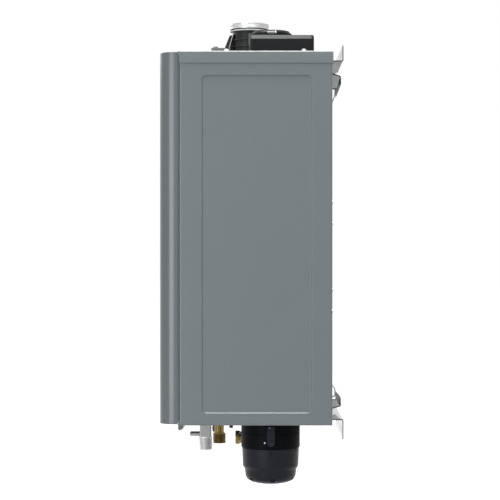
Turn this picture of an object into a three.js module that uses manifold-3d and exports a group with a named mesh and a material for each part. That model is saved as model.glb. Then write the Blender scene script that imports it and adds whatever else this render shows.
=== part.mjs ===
// Wall-hung condensing tankless water heater with a twist-off filter canister under its case.
// Units are millimetres and +Z is up. The wall is the plane Y = 0 and the front cover faces -Y.
// The origin is the middle of the rear face of the upper wall flange, where the heater hangs.

import * as THREE from 'three';
import { mergeVertices } from 'three/addons/utils/BufferGeometryUtils.js';
import Module from 'manifold-3d';

const wasm = await Module();
wasm.setup();

// Driving sizes of the whole heater
const caseWidth = 470;
const caseHeight = 700;
const caseDepth = 324;
const coverDepth = 34;
const coverRadius = 30;
const seamGap = 3;
const wallGap = 26;
const hangDrop = 7.5;
const sheet = 1.5;
const bendRadius = 2.5;

// Clearance between resting pieces, and how far a cutter runs past the face it opens
const seat = 0.3;
const overrun = 4;

// Facets of round pieces and of folded corners
const roundSteps = 24;
const middleRoundSteps = 16;
const smallRoundSteps = 12;
const outlineArcSteps = 4;
const cornerSteps = 2;
const coverCornerSteps = 10;

// Planes of the case worked out from the driving sizes
const halfWidth = caseWidth / 2;
const caseTop = -hangDrop;
const caseBottom = caseTop - caseHeight;
const caseBack = -wallGap;
const coverFace = caseBack - caseDepth;
const coverBack = coverFace + coverDepth;
const caseFront = coverBack + seamGap;
const plateTop = caseBottom + sheet;
const plateUnder = caseBottom - seat;
const capTopSeat = caseTop + seat;

const heater = new THREE.Group();

// Solid for joining and cutting, from a closed geometry whose shared corners are merged
function solid(shape) {
  if (!shape.isBufferGeometry) {
    return shape;
  }
  const bare = shape.clone();
  bare.deleteAttribute('normal');
  bare.deleteAttribute('uv');
  const merged = mergeVertices(bare);
  const index = merged.index.array;
  const corners = [];
  for (let i = 0; i < index.length; i += 3) {
    const [a, b, c] = [index[i], index[i + 1], index[i + 2]];
    if (a !== b && b !== c && c !== a) {
      corners.push(a, b, c);
    }
  }
  const vertProperties = new Float32Array(merged.attributes.position.array);
  const triVerts = new Uint32Array(corners);
  return new wasm.Manifold(new wasm.Mesh({ numProp: 3, vertProperties, triVerts }));
}

function join(first, ...others) {
  return others.reduce((whole, piece) => whole.add(solid(piece)), solid(first));
}

function cut(whole, ...tools) {
  return tools.reduce((rest, tool) => rest.subtract(solid(tool)), solid(whole));
}

// Surface finishes seen on the heater: colour, roughness, metalness
const finishes = {
  casing: [0x75808a, 0.45, 0.35],
  zinc: [0xa9adae, 0.4, 0.8],
  steel: [0xb9bcbd, 0.3, 0.9],
  copper: [0xb5714a, 0.35, 0.9],
  brass: [0xb49a5c, 0.35, 0.9],
  aluminium: [0xc2c4c4, 0.4, 0.9],
  blackPlastic: [0x1c1f23, 0.55, 0],
  rubber: [0x17181a, 0.85, 0],
  paleRubber: [0xa7a9a6, 0.8, 0],
  whitePlastic: [0xd9dad6, 0.6, 0],
  display: [0x0c1014, 0.1, 0],
  board: [0x2c6b45, 0.6, 0],
};

// Adds one named piece to the heater, from a geometry or a cut solid
function addPiece(name, shape, finish, place = [0, 0, 0]) {
  const { vertProperties, triVerts } = solid(shape).getMesh();
  const geometry = new THREE.BufferGeometry();
  geometry.setAttribute('position', new THREE.BufferAttribute(vertProperties, 3));
  geometry.setIndex(new THREE.BufferAttribute(triVerts, 1));
  geometry.computeVertexNormals();
  const [color, roughness, metalness] = finishes[finish];
  const mesh = new THREE.Mesh(geometry, new THREE.MeshStandardMaterial({ color, roughness, metalness }));
  mesh.name = name;
  mesh.position.set(...place);
  heater.add(mesh);
}

// Turns a geometry made along local Z so that it lies along the named axis. Its outline is then
// read as (x, y) along Z, as (y, z) along X, and as (x, z) along Y, where it grows towards -Y.
function layAlong(geometry, axis) {
  const x = new THREE.Vector3(1, 0, 0);
  const y = new THREE.Vector3(0, 1, 0);
  const z = new THREE.Vector3(0, 0, 1);
  const turn = new THREE.Matrix4();
  if (axis === 'x') {
    turn.makeBasis(y, z, x);
  }
  if (axis === 'y') {
    turn.makeBasis(x, z, y.negate());
  }
  return geometry.applyMatrix4(turn);
}

function block(x0, x1, y0, y1, z0, z1) {
  const box = new THREE.BoxGeometry(x1 - x0, y1 - y0, z1 - z0);
  return box.translate((x0 + x1) / 2, (y0 + y1) / 2, (z0 + z1) / 2);
}

// Outline without points that repeat the one before them
function distinct(points) {
  return points.filter((point, i) => {
    const before = points[(i + points.length - 1) % points.length];
    return point.distanceTo(before) > seat / 100;
  });
}

// Prism of an outline between two places on an axis
function prism(axis, outline, from, to) {
  const shape = Array.isArray(outline) ? new THREE.Shape(distinct(outline)) : outline;
  const settings = { depth: to - from, bevelEnabled: false, curveSegments: outlineArcSteps };
  const geometry = new THREE.ExtrudeGeometry(shape, settings);
  geometry.translate(0, 0, axis === 'y' ? -to : from);
  return layAlong(geometry, axis);
}

// Skin over outlines of equal point count, each at its own place on the axis, closed at both ends
function loft(axis, sections) {
  const sign = axis === 'y' ? -1 : 1;
  const ordered = sections.map(([outline, place]) => ({ outline, z: sign * place }));
  ordered.sort((a, b) => a.z - b.z);
  const count = ordered[0].outline.length;
  const points = ordered.flatMap(({ outline, z }) => outline.map((p) => [p.x, p.y, z])).flat();
  const faces = [];
  for (let ring = 0; ring < ordered.length - 1; ring += 1) {
    for (let i = 0; i < count; i += 1) {
      const a = ring * count + i;
      const b = ring * count + ((i + 1) % count);
      faces.push(a, b, b + count, a, b + count, a + count);
    }
  }
  const last = (ordered.length - 1) * count;
  for (const [a, b, c] of THREE.ShapeUtils.triangulateShape(ordered[0].outline, [])) {
    faces.push(c, b, a);
  }
  for (const [a, b, c] of THREE.ShapeUtils.triangulateShape(ordered[ordered.length - 1].outline, [])) {
    faces.push(last + a, last + b, last + c);
  }
  const geometry = new THREE.BufferGeometry();
  geometry.setAttribute('position', new THREE.Float32BufferAttribute(points, 3));
  geometry.setIndex(faces);
  return layAlong(geometry, axis);
}

// Revolved piece. The profile lists [radius, place on the axis], and closes on itself unless it
// starts and ends on the axis. The centre gives the other two coordinates.
function turned(axis, profile, centre, steps = roundSteps) {
  const points = profile.map(([r, h]) => new THREE.Vector2(r, h));
  const area = THREE.ShapeUtils.area(points);
  if (area < 0) {
    points.reverse();
  }
  if (points[0].x > 0 || points[points.length - 1].x > 0) {
    points.push(points[0].clone());
  }
  const geometry = new THREE.LatheGeometry(points, steps);
  if (axis === 'z') {
    return geometry.rotateX(Math.PI / 2).translate(centre.x, centre.y, 0);
  }
  if (axis === 'x') {
    return geometry.rotateZ(-Math.PI / 2).translate(0, centre.y, centre.z);
  }
  return geometry.translate(centre.x, 0, centre.z);
}

function cylinder(axis, radius, from, to, centre, steps = smallRoundSteps) {
  return turned(axis, [[0, from], [radius, from], [radius, to], [0, to]], centre, steps);
}

// Line through points whose inner corners are rounded by arcs
function bend(corners, radius, steps = cornerSteps) {
  const line = corners.map(([a, b]) => new THREE.Vector2(a, b));
  const rounded = [line[0]];
  for (let i = 1; i < line.length - 1; i += 1) {
    const inward = line[i].clone().sub(line[i - 1]).normalize();
    const outward = line[i + 1].clone().sub(line[i]).normalize();
    const turnAngle = Math.atan2(inward.cross(outward), inward.dot(outward));
    const half = Math.abs(turnAngle) / 2;
    const toCentre = outward.clone().sub(inward).normalize().multiplyScalar(radius / Math.cos(half));
    const centre = line[i].clone().add(toCentre);
    const start = line[i].clone().sub(inward.multiplyScalar(radius * Math.tan(half)));
    for (let k = 0; k <= steps; k += 1) {
      rounded.push(start.clone().rotateAround(centre, (turnAngle * k) / steps));
    }
  }
  rounded.push(line[line.length - 1]);
  return rounded;
}

// Outline of a folded sheet whose middle line runs through the corners
function sheetOutline(corners, thickness, radius) {
  const line = bend(corners, radius);
  const near = [];
  const far = [];
  line.forEach((point, i) => {
    const before = line[Math.max(i - 1, 0)];
    const after = line[Math.min(i + 1, line.length - 1)];
    const first = (i === 0 ? after.clone().sub(point) : point.clone().sub(before)).normalize();
    const second = (i === line.length - 1 ? first : after.clone().sub(point)).clone().normalize();
    const along = first.clone().add(second).normalize();
    const reach = thickness / 2 / along.dot(first);
    const across = new THREE.Vector2(-along.y, along.x).multiplyScalar(reach);
    near.push(point.clone().add(across));
    far.unshift(point.clone().sub(across));
  });
  return near.concat(far);
}

// Rectangle with round corners, as points in turning order
function roundedRectangle(a0, a1, b0, b1, radius) {
  const points = [];
  const centres = [[a1, b0, 1, -1], [a1, b1, 1, 1], [a0, b1, -1, 1], [a0, b0, -1, -1]];
  centres.forEach(([a, b, signA, signB], corner) => {
    for (let k = 0; k <= cornerSteps; k += 1) {
      const angle = ((corner - 1 + k / cornerSteps) * Math.PI) / 2;
      const centreA = a - signA * radius;
      const centreB = b - signB * radius;
      points.push(new THREE.Vector2(
        centreA + radius * Math.cos(angle),
        centreB + radius * Math.sin(angle),
      ));
    }
  });
  return points;
}

// Piece of a ring between two angles, as an outline round the origin
function ringSector(inner, outer, from, to) {
  const shape = new THREE.Shape();
  shape.absarc(0, 0, outer, from, to, false);
  shape.absarc(0, 0, inner, to, from, true);
  return shape;
}

// Pipe of one diameter along straight runs joined by round bends
function pipe(corners, radius, bendReach, steps, sides = 8) {
  const points = corners.map((corner) => new THREE.Vector3(...corner));
  const route = new THREE.CurvePath();
  let start = points[0];
  for (let i = 1; i < points.length - 1; i += 1) {
    const before = points[i].clone().sub(points[i - 1]).normalize().multiplyScalar(bendReach);
    const after = points[i + 1].clone().sub(points[i]).normalize().multiplyScalar(bendReach);
    const entry = points[i].clone().sub(before);
    const exit = points[i].clone().add(after);
    route.add(new THREE.LineCurve3(start, entry));
    route.add(new THREE.QuadraticBezierCurve3(entry, points[i], exit));
    start = exit;
  }
  route.add(new THREE.LineCurve3(start, points[points.length - 1]));
  const section = new THREE.Shape();
  section.absarc(0, 0, radius, 0, 2 * Math.PI, false);
  return new THREE.ExtrudeGeometry(section, { steps, curveSegments: sides / 2, extrudePath: route });
}

// Case: folded steel wrap of back and sides, with a pressed panel in each side
const frontFlange = 22;
const skirtHeight = 22;
const plateSkirt = 16;
const pressDepth = 2.5;
const pressSlope = 4;
const pressCorner = 9;
const pressMarginTop = 44;
const pressMarginBottom = 22;
const pressMarginFront = 42;
const pressMarginBack = 38;

const wrapTop = caseTop - sheet - bendRadius;
const wrapBottom = plateTop + seat;

// Pressed panel as a tapered block: its mouth lies at one distance from the middle, its floor deeper
function pressedPanel(hand, mouth, grow, tail) {
  const y0 = caseFront + pressMarginFront;
  const y1 = caseBack - pressMarginBack;
  const z0 = caseBottom + pressMarginBottom;
  const z1 = caseTop - pressMarginTop;
  const ring = (inset) => roundedRectangle(
    y0 + inset, y1 - inset, z0 + inset, z1 - inset, pressCorner - inset / 2,
  );
  return loft('x', [
    [ring(-grow), hand * (mouth + tail)],
    [ring(-grow), hand * mouth],
    [ring(pressSlope - grow), hand * (mouth - pressDepth)],
  ]);
}

const wrapSide = halfWidth - sheet / 2;
const wrapFront = caseFront + sheet / 2;
const wrapBack = caseBack - sheet / 2;
const wrapLine = [
  [halfWidth - frontFlange, wrapFront],
  [wrapSide, wrapFront],
  [wrapSide, wrapBack],
  [-wrapSide, wrapBack],
  [-wrapSide, wrapFront],
  [-halfWidth + frontFlange, wrapFront],
];
let wrap = solid(prism('z', sheetOutline(wrapLine, sheet, bendRadius), wrapBottom, wrapTop));
for (const hand of [-1, 1]) {
  wrap = join(wrap, pressedPanel(hand, halfWidth - sheet, sheet / 2, sheet / 2));
  wrap = cut(wrap, pressedPanel(hand, halfWidth, 0, overrun));
}
addPiece('case_wrap', wrap, 'casing');

// Places of the two air ports on top, for 2 inch plastic pipe of 60.3 outside diameter
const exhaustInset = 115;
const exhaustBehind = 131;
const intakeInset = 145;
const intakeForward = 113;
const exhaustPort = { x: -halfWidth + exhaustInset, y: caseFront + exhaustBehind };
const intakePort = { x: halfWidth - intakeInset, y: caseBack - intakeForward };
const portBore = 30.8;
const portWall = 2.7;
const spigotRadius = portBore + portWall + sheet;
const capHoleGap = 0.5;

// Top cap: shallow tray over the wrap, with a ledge in front that carries the cover's rolled edge
const beadRadius = 1.35;
const beadBite = 0.2;
const beadDrop = 3.5;
const ledgeGap = 0.6;
const beadPlace = { y: coverBack + beadRadius - beadBite, z: caseTop - beadDrop };
const ledgeTop = beadPlace.z - beadRadius - seat;
const openHalf = halfWidth - frontFlange - seat;

const capSide = halfWidth + seat + sheet / 2;
const capLine = [
  [-capSide, caseTop - skirtHeight],
  [-capSide, caseTop - sheet / 2],
  [capSide, caseTop - sheet / 2],
  [capSide, caseTop - skirtHeight],
];
const capBack = caseBack + seat + sheet;
const capSkirtHalf = capSide - bendRadius;
addPiece('top_cap', cut(
  join(
    prism('y', sheetOutline(capLine, sheet, bendRadius), caseFront, capBack),
    block(-capSkirtHalf, capSkirtHalf, capBack - sheet, capBack, caseTop - skirtHeight, caseTop - sheet / 2),
    block(-openHalf, openHalf, caseFront, caseFront + sheet, caseTop - frontFlange, caseTop - sheet / 2),
    block(-openHalf, openHalf, coverBack + ledgeGap, caseFront + sheet / 2, ledgeTop - sheet, ledgeTop),
  ),
  cylinder('z', spigotRadius + capHoleGap, caseTop - overrun, caseTop + overrun, exhaustPort, roundSteps),
  cylinder('z', spigotRadius + capHoleGap, caseTop - overrun, caseTop + overrun, intakePort, roundSteps),
), 'casing');

// Connections under the case: place of each axis, and the round sizes they share
const gasX = 20;
const gasBehind = 44;
const hotInset = 175;
const hotBehind = 70;
const coldInset = 173;
const coldForward = 154;
const condensateBeside = 55;
const condensateBehind = 63;
const nubInset = 45;
const nubForward = 190;
const filterInset = 75;
const filterForward = 115;
const gasPlace = { x: gasX, y: caseFront + gasBehind };
const hotPlace = { x: -halfWidth + hotInset, y: caseFront + hotBehind };
const coldPlace = { x: halfWidth - coldInset, y: caseBack - coldForward };
const condensatePlace = { x: hotPlace.x - condensateBeside, y: caseFront + condensateBehind };
const nubPlace = { x: halfWidth - nubInset, y: caseBack - nubForward };
const filterPlace = { x: halfWidth - filterInset, y: caseBack - filterForward };
const neckRadius = 9.5;
const gasNeckRadius = 10.5;
const spoutRadius = 9.3;
const nubRadius = 4;
const headRadius = 56;
const plateHoleGap = 0.6;

// Cover catches: two draw catches whose ears hang from the bottom plate under the seam
const catchInset = 55;
const catchOffset = halfWidth - catchInset;
const catchWidth = 18;
const earThick = 2;
const earFront = coverBack - seat;
const earLength = 12;
const earDrop = 12.5;
const earTaper = 5;
const catchPinBack = 4;
const catchPinDrop = 7.5;
const catchPin = { y: caseFront + catchPinBack, z: caseBottom - catchPinDrop };
const catchPinRadius = 1.5;

const earTop = plateTop - sheet / 2;
const ear = [
  [caseFront, earTop],
  [caseFront, caseBottom],
  [earFront, caseBottom],
  [earFront, caseBottom - earDrop],
  [earFront + earLength - earTaper, caseBottom - earDrop],
  [earFront + earLength, caseBottom - seat],
  [earFront + earLength, earTop],
].map(([y, z]) => new THREE.Vector2(y, z));
const ears = [];
for (const x of [-catchOffset, catchOffset]) {
  const outer = catchWidth / 2;
  ears.push(prism('x', ear, x - outer, x - outer + earThick));
  ears.push(prism('x', ear, x + outer - earThick, x + outer));
  ears.push(cylinder('x', catchPinRadius, x - outer + earThick / 2, x + outer - earThick / 2, catchPin));
}

// Bottom plate: flat sheet with an inner skirt, holes for every connection, and the catch ears
const skirtInset = sheet + seat;
const skirtRing = (inset) => roundedRectangle(
  -halfWidth + inset, halfWidth - inset,
  caseFront + inset, caseBack - inset, bendRadius + sheet,
);
const plateHole = (radius, place) => cylinder(
  'z', radius + plateHoleGap, caseBottom - overrun, plateTop + overrun, place,
);
addPiece('bottom_plate', cut(
  join(
    prism(
      'z', roundedRectangle(-halfWidth, halfWidth, caseFront, caseBack, bendRadius),
      caseBottom, plateTop,
    ),
    cut(
      prism('z', skirtRing(skirtInset), caseBottom, caseBottom + plateSkirt),
      prism('z', skirtRing(skirtInset + sheet), plateTop, caseBottom + plateSkirt + overrun),
    ),
    block(-openHalf, openHalf, caseFront, caseFront + sheet, caseBottom, caseBottom + frontFlange),
    ...ears,
  ),
  plateHole(gasNeckRadius, gasPlace),
  plateHole(neckRadius, hotPlace),
  plateHole(neckRadius, coldPlace),
  plateHole(spoutRadius, condensatePlace),
  plateHole(nubRadius, nubPlace),
  cylinder('z', headRadius + plateHoleGap, caseBottom - overrun, plateTop + overrun, filterPlace, roundSteps),
), 'casing');

// Lever of a cover catch, drawn round its pin: a round hub with a blade in front
const leverHub = 4.6;
const leverReach = 9;
const leverRise = 4.8;
const leverDrop = 5.5;
const leverTip = 8.6;
const leverTipBack = 4.5;
const leverHubStart = (-100 * Math.PI) / 180;
const leverShape = new THREE.Shape();
leverShape.moveTo(0, leverHub);
leverShape.lineTo(-leverReach, leverRise);
leverShape.lineTo(-leverReach, -leverDrop);
leverShape.lineTo(-leverTipBack, -leverTip);
leverShape.absarc(0, 0, leverHub, leverHubStart, Math.PI / 2, false);
const leverBore = new THREE.Path();
leverBore.absarc(0, 0, catchPinRadius + seat, 0, 2 * Math.PI, true);
leverShape.holes.push(leverBore);
const leverHalf = catchWidth / 2 - earThick - seat;
for (const [side, x] of [['left', -catchOffset], ['right', catchOffset]]) {
  const lever = prism('x', leverShape, -leverHalf, leverHalf);
  addPiece(`cover_catch_${side}`, lever, 'steel', [x, catchPin.y, catchPin.z]);
}

// Front cover: deep pan with large round upright corners, a return flange, and a rolled hanging bead
const coverReturn = 18;
const coverTopDrop = 1.2;
const coverTop = caseTop - coverTopDrop;
const coverBottom = caseBottom + sheet + seat * 2;
const coverOutline = (inset) => bend([
  [halfWidth - inset, coverBack - inset],
  [halfWidth - inset, coverFace + inset],
  [-halfWidth + inset, coverFace + inset],
  [-halfWidth + inset, coverBack - inset],
], Math.min(coverRadius, coverDepth - 2 * sheet) - inset, coverCornerSteps);
const beadHalf = openHalf - coverReturn;

// Control panel opening in the cover, and the pieces that follow it
const panelHalfWidth = 76;
const panelHalfHeight = 25;
const panelCorner = 8;
const panelRise = 118;
const panelZ = caseBottom + panelRise;
const panelRing = (grow) => roundedRectangle(
  -panelHalfWidth - grow, panelHalfWidth + grow,
  panelZ - panelHalfHeight - grow, panelZ + panelHalfHeight + grow, panelCorner,
);
const cover = cut(
  prism('z', coverOutline(0), coverBottom, coverTop),
  prism('z', coverOutline(sheet), coverBottom + sheet, coverTop - sheet),
  block(
    -halfWidth + coverReturn, halfWidth - coverReturn, coverBack - 2 * sheet, coverBack + overrun,
    coverBottom + coverReturn, coverTop - coverReturn,
  ),
  prism('y', panelRing(0), coverFace - overrun, coverFace + sheet + overrun),
);
addPiece('front_cover', join(
  cover,
  cylinder('x', beadRadius, -beadHalf, beadHalf, beadPlace, smallRoundSteps / 2),
), 'casing');

// Rubber gasket in the seam, a closed frame under the ledge
const gasketInset = 4;
const gasketWidth = 8;
const gasketCorner = 12;
const gasketTop = ledgeTop - sheet - seat;
const gasketRing = (inset) => roundedRectangle(
  -halfWidth + gasketInset + inset, halfWidth - gasketInset - inset,
  coverBottom + gasketInset + inset, gasketTop - inset, gasketCorner - inset,
);
addPiece('cover_gasket', cut(
  prism('y', gasketRing(0), coverBack + seat, caseFront - seat),
  prism('y', gasketRing(gasketWidth), coverBack, caseFront),
), 'rubber');

// Control panel: a moulded bezel from behind the cover, a display window and four round buttons
const bezelLip = 8;
const bezelLipThick = 2;
const bezelDepth = 16;
const bezelWall = 2;
const bezelFace = coverFace + seat;
const bezelPlate = 2.4;
const windowHalfWidth = 32;
const windowHalfHeight = 14;
const windowLedge = 2;
const windowThick = 1.4;
const buttonRadius = 7;
const buttonRim = 1.4;
const buttonRimThick = 1.2;
const buttonTravel = 1.2;
const buttonPitch = 21;
const buttonGap = 22;
const buttonX = windowHalfWidth + buttonGap;
const buttonBackFace = bezelFace + bezelPlate + seat + buttonRimThick;
const lipFront = coverFace + sheet + seat;
const bezelBack = coverFace + bezelDepth;
const buttonPlaces = {
  power_button: [-buttonX, buttonPitch / 2],
  menu_button: [-buttonX, -buttonPitch / 2],
  up_button: [buttonX, buttonPitch / 2],
  down_button: [buttonX, -buttonPitch / 2],
};
const windowBlock = (grow, y0, y1) => block(
  -windowHalfWidth - grow, windowHalfWidth + grow, y0, y1,
  panelZ - windowHalfHeight - grow, panelZ + windowHalfHeight + grow,
);
const buttonHoles = Object.values(buttonPlaces).map(([x, z]) => cylinder(
  'y', buttonRadius + seat, bezelFace - overrun, bezelFace + bezelPlate + overrun, { x, z: panelZ + z },
));
addPiece('control_bezel', cut(
  join(
    prism('y', panelRing(-seat), bezelFace, bezelBack),
    prism('y', panelRing(bezelLip), lipFront, lipFront + bezelLipThick),
  ),
  prism('y', panelRing(-seat - bezelWall), bezelFace + bezelPlate, bezelBack + overrun),
  windowBlock(0, bezelFace - overrun, bezelFace + windowThick),
  windowBlock(-windowLedge, bezelFace - overrun, bezelFace + bezelPlate + overrun),
  ...buttonHoles,
), 'blackPlastic');
addPiece('display_window', windowBlock(-seat, bezelFace, bezelFace + windowThick - seat), 'display');
for (const [name, [x, z]] of Object.entries(buttonPlaces)) {
  const cap = turned('y', [
    [0, 0],
    [buttonRadius - buttonRim / 2, 0],
    [buttonRadius, buttonRim / 2],
    [buttonRadius, bezelPlate + seat],
    [buttonRadius + buttonRim, bezelPlate + seat],
    [buttonRadius + buttonRim, bezelPlate + seat + buttonRimThick],
    [0, bezelPlate + seat + buttonRimThick],
  ], { x: 0, z: 0 }, smallRoundSteps);
  addPiece(name, cap, 'whitePlastic', [x, bezelFace, panelZ + z]);
}

// Control board behind the bezel plate: display module and one switch under each button
const boardThick = 1.6;
const boardGap = 1;
const boardFront = bezelBack - boardThick - seat;
const switchRadius = 3;
const switchGap = 0.5;
const boardInset = seat + bezelWall + boardGap / 2;
addPiece('control_board', join(
  prism('y', panelRing(-boardInset), boardFront, boardFront + boardThick),
  windowBlock(-windowLedge - seat, bezelFace + bezelPlate, boardFront + boardThick / 2),
  ...Object.values(buttonPlaces).map(([x, z]) => cylinder(
    'y', switchRadius, buttonBackFace + buttonTravel + switchGap, boardFront + boardThick / 2,
    { x, z: panelZ + z }, smallRoundSteps / 2,
  )),
), 'board');

// Wall brackets and hanging hooks: folded zinc strip with closed ends
const bracketSheet = 2;
const bracketHalf = 130;
const flangeHalf = 15.3;
const bracketDrop = 36.8;
const lowerFlangeDrop = 38;
const slotHalf = 4;
const slotReach = 5;
const slotNear = 45;
const slotFar = 105;
const slotPlaces = [-slotFar, -slotNear, slotNear, slotFar];
const upperWebShare = 0.415;
const lowerWebShare = 0.6;
const flangeY = -bracketSheet / 2;
const onCaseY = caseBack + seat + bracketSheet / 2;
const onSkirtY = capBack + seat + bracketSheet / 2;

function slots(z) {
  return slotPlaces.map((x) => prism(
    'y', roundedRectangle(x - slotHalf, x + slotHalf, z - slotReach - slotHalf, z + slotReach, slotHalf),
    -bracketSheet - overrun, overrun,
  ));
}

// Folded strip along X with a filled web near each end
function closedStrip(line, endWeb, half) {
  const webs = [-half, half - bracketSheet].map((x) => prism(
    'x', endWeb.map(([y, z]) => new THREE.Vector2(y, z)), x, x + bracketSheet,
  ));
  return join(prism('x', sheetOutline(line, bracketSheet, bracketSheet), -half, half), ...webs);
}

const upperWebZ = -flangeHalf + bracketSheet / 2;
addPiece('upper_wall_bracket', cut(
  closedStrip(
    [[onSkirtY, -bracketDrop], [onSkirtY, upperWebZ], [flangeY, upperWebZ], [flangeY, flangeHalf]],
    [
      [onSkirtY, upperWebZ], [onSkirtY, -bracketDrop],
      [-wallGap * upperWebShare, -bracketDrop], [-bracketSheet, upperWebZ],
    ],
    bracketHalf,
  ),
  ...slots(bracketSheet),
), 'zinc');

const lowerWebZ = caseBottom + bracketSheet / 2;
const lowerPlateRise = 10.5;
const lowerPlateTop = lowerWebZ + lowerPlateRise;
addPiece('lower_wall_bracket', cut(
  closedStrip(
    [
      [onCaseY, lowerPlateTop], [onCaseY, lowerWebZ],
      [flangeY, lowerWebZ], [flangeY, lowerWebZ - lowerFlangeDrop],
    ],
    [
      [onCaseY, lowerWebZ], [-bracketSheet * 2, lowerWebZ],
      [-wallGap * lowerWebShare, lowerPlateTop], [onCaseY, lowerPlateTop],
    ],
    bracketHalf,
  ),
  ...slots(lowerWebZ - lowerFlangeDrop / 2),
), 'zinc');

// Hanging hooks: a plate on the case, turned outward into two lips whose tongues point back in
const hookHalf = 128;
const hookParting = 36;
const hookPlate = 56;
const hookSlant = 5;
const hookLip = 21;
const hookOut = 19.8;
const hookTipOut = 11.2;
const upperTongue = 43;
const lowerTongue = 31.7;
const upperEndWeb = 28;
const lowerEndWeb = 16;
const lowerHookRise = 10.8;
const hookOutY = caseBack + hookOut;
const hookTipY = caseBack + hookTipOut;
function hook(base, direction, tongue, endWeb) {
  const at = (offset) => base + direction * offset;
  const strip = closedStrip(
    [
      [onCaseY, at(hookPlate)], [onCaseY, base], [hookOutY, at(hookSlant)],
      [hookOutY, at(hookLip)], [hookTipY, at(tongue)],
    ],
    [
      [onCaseY, base], [hookOutY, at(hookSlant)],
      [hookTipY + bracketSheet / 2, at(endWeb)], [onCaseY, at(endWeb)],
    ],
    hookHalf,
  );
  const [low, high] = [at(-hookSlant), at(hookPlate)].sort((a, b) => a - b);
  const parting = block(
    -hookParting / 2, hookParting / 2, onCaseY + bracketSheet / 2, hookOutY + hookSlant, low, high,
  );
  return cut(strip, parting);
}
const upperHookBase = -bracketDrop - 1.5 * bracketSheet;
const lowerHookBase = lowerPlateTop + lowerHookRise;
addPiece('upper_hook', hook(upperHookBase, -1, upperTongue, upperEndWeb), 'zinc');
addPiece('lower_hook', hook(lowerHookBase, 1, lowerTongue, lowerEndWeb), 'zinc');

// Exhaust collar: black socket for the vent pipe, with two ribs, four fins and a foot on the top cap
const collarRadius = portBore + portWall;
const collarFoot = 52;
const collarFootThick = 4;
const spigotDrop = 9;
const collarRibOut = 2;
const collarRibHeight = 2.5;
const collarRibLow = 47;
const collarRibHigh = 60.5;
const collarRibs = [caseTop + collarRibLow, caseTop + collarRibHigh];
const exhaustRise = 93.5;
const exhaustTop = caseTop + exhaustRise;
const finThick = 4;
const finLowRise = 48.5;
const finHighRise = 72.5;
const finLow = caseTop + finLowRise;
const finHigh = caseTop + finHighRise;
const finTopRadius = 41;
const footTop = capTopSeat + collarFootThick;
const spigotLow = caseTop - sheet - spigotDrop;

const finOutline = [
  [collarRadius - portWall / 2, footTop - sheet],
  [collarFoot - sheet, footTop - sheet],
  [collarFoot - sheet, finLow],
  [finTopRadius, finHigh],
  [collarRadius - portWall / 2, finHigh + collarRibHeight],
].map(([r, z]) => new THREE.Vector2(r, z));
const fins = [0, 1, 2, 3].map((quarter) => prism('x', finOutline, -finThick / 2, finThick / 2)
  .rotateZ((quarter * Math.PI) / 2)
  .translate(exhaustPort.x, exhaustPort.y, 0));
const ribSteps = collarRibs.flatMap((z) => [
  [collarRadius, z],
  [collarRadius + collarRibOut, z],
  [collarRadius + collarRibOut, z + collarRibHeight],
  [collarRadius, z + collarRibHeight],
]);
addPiece('exhaust_collar', join(
  turned('z', [
    [portBore, spigotLow],
    [spigotRadius, spigotLow],
    [spigotRadius, capTopSeat],
    [collarFoot, capTopSeat],
    [collarFoot, footTop],
    [collarRadius, footTop],
    ...ribSteps,
    [collarRadius, exhaustTop],
    [portBore, exhaustTop],
  ], exhaustPort),
  ...fins,
), 'blackPlastic');

// Rubber lip seal round the collar's mouth, drawn tight by a steel band
const sealWall = 4.5;
const sealDrop = 12;
const sealRimThick = 2;
const sealLow = exhaustTop - sealDrop;
const sealTop = exhaustTop + sealRimThick;
const sealLip = 1.2;
const bandThick = 1.8;
const bandDrop = 9;
const bandWidth = 11.5;
const bandLow = exhaustTop - bandDrop;
const bandTop = bandLow + bandWidth;
const sealInner = collarRadius + seat;
const sealOuter = sealInner + sealWall;
addPiece('vent_seal', turned('z', [
  [sealInner, sealLow],
  [sealOuter + sealLip, sealLow],
  [sealOuter + sealLip, bandLow - seat],
  [sealOuter, bandLow - seat],
  [sealOuter, sealTop],
  [portBore, sealTop],
  [portBore, exhaustTop + seat],
  [sealInner, exhaustTop + seat],
], exhaustPort), 'paleRubber');

// Worm-drive clamp: a band with a housing on one side, and the screw that runs through it along Y
const wormHalf = 6;
const wormOut = 9;
const wormHeight = 8;
const wormScrewRadius = 2.4;
const wormHeadRadius = 3.8;
const wormHeadLength = 3;
const wormSlot = 0.8;

function wormClamp(name, port, side, inner, z0, z1) {
  const outer = inner + bandThick;
  const middle = (z0 + z1) / 2;
  const near = port.x + side * (outer - bandThick / 2);
  const far = port.x + side * (outer + wormOut);
  const screwPlace = { x: port.x + side * (outer + wormOut / 2), z: middle };
  const half = wormHeight / 2;
  addPiece(`${name}_clamp`, cut(
    join(
      turned('z', [[inner, z0], [outer, z0], [outer, z1], [inner, z1]], port),
      block(
        Math.min(near, far), Math.max(near, far), port.y - wormHalf, port.y + wormHalf,
        middle - half, middle + half,
      ),
    ),
    cylinder('z', inner, z0 - overrun, z1 + overrun, port, roundSteps),
    cylinder(
      'y', wormScrewRadius + seat, port.y - wormHalf - overrun, port.y + wormHalf + overrun, screwPlace,
    ),
  ), 'steel');
  const headStart = port.y + wormHalf + seat;
  const headEnd = headStart + wormHeadLength;
  addPiece(`${name}_clamp_screw`, cut(
    turned('y', [
      [0, port.y - wormHalf - wormHeadLength / 2],
      [wormScrewRadius, port.y - wormHalf - wormHeadLength / 2],
      [wormScrewRadius, headStart],
      [wormHeadRadius, headStart],
      [wormHeadRadius, headEnd],
      [0, headEnd],
    ], screwPlace, smallRoundSteps / 2),
    block(
      screwPlace.x - wormSlot / 2, screwPlace.x + wormSlot / 2,
      headEnd - wormSlot, headEnd + overrun, middle - wormHeight, middle + wormHeight,
    ),
  ), 'steel');
}
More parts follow.
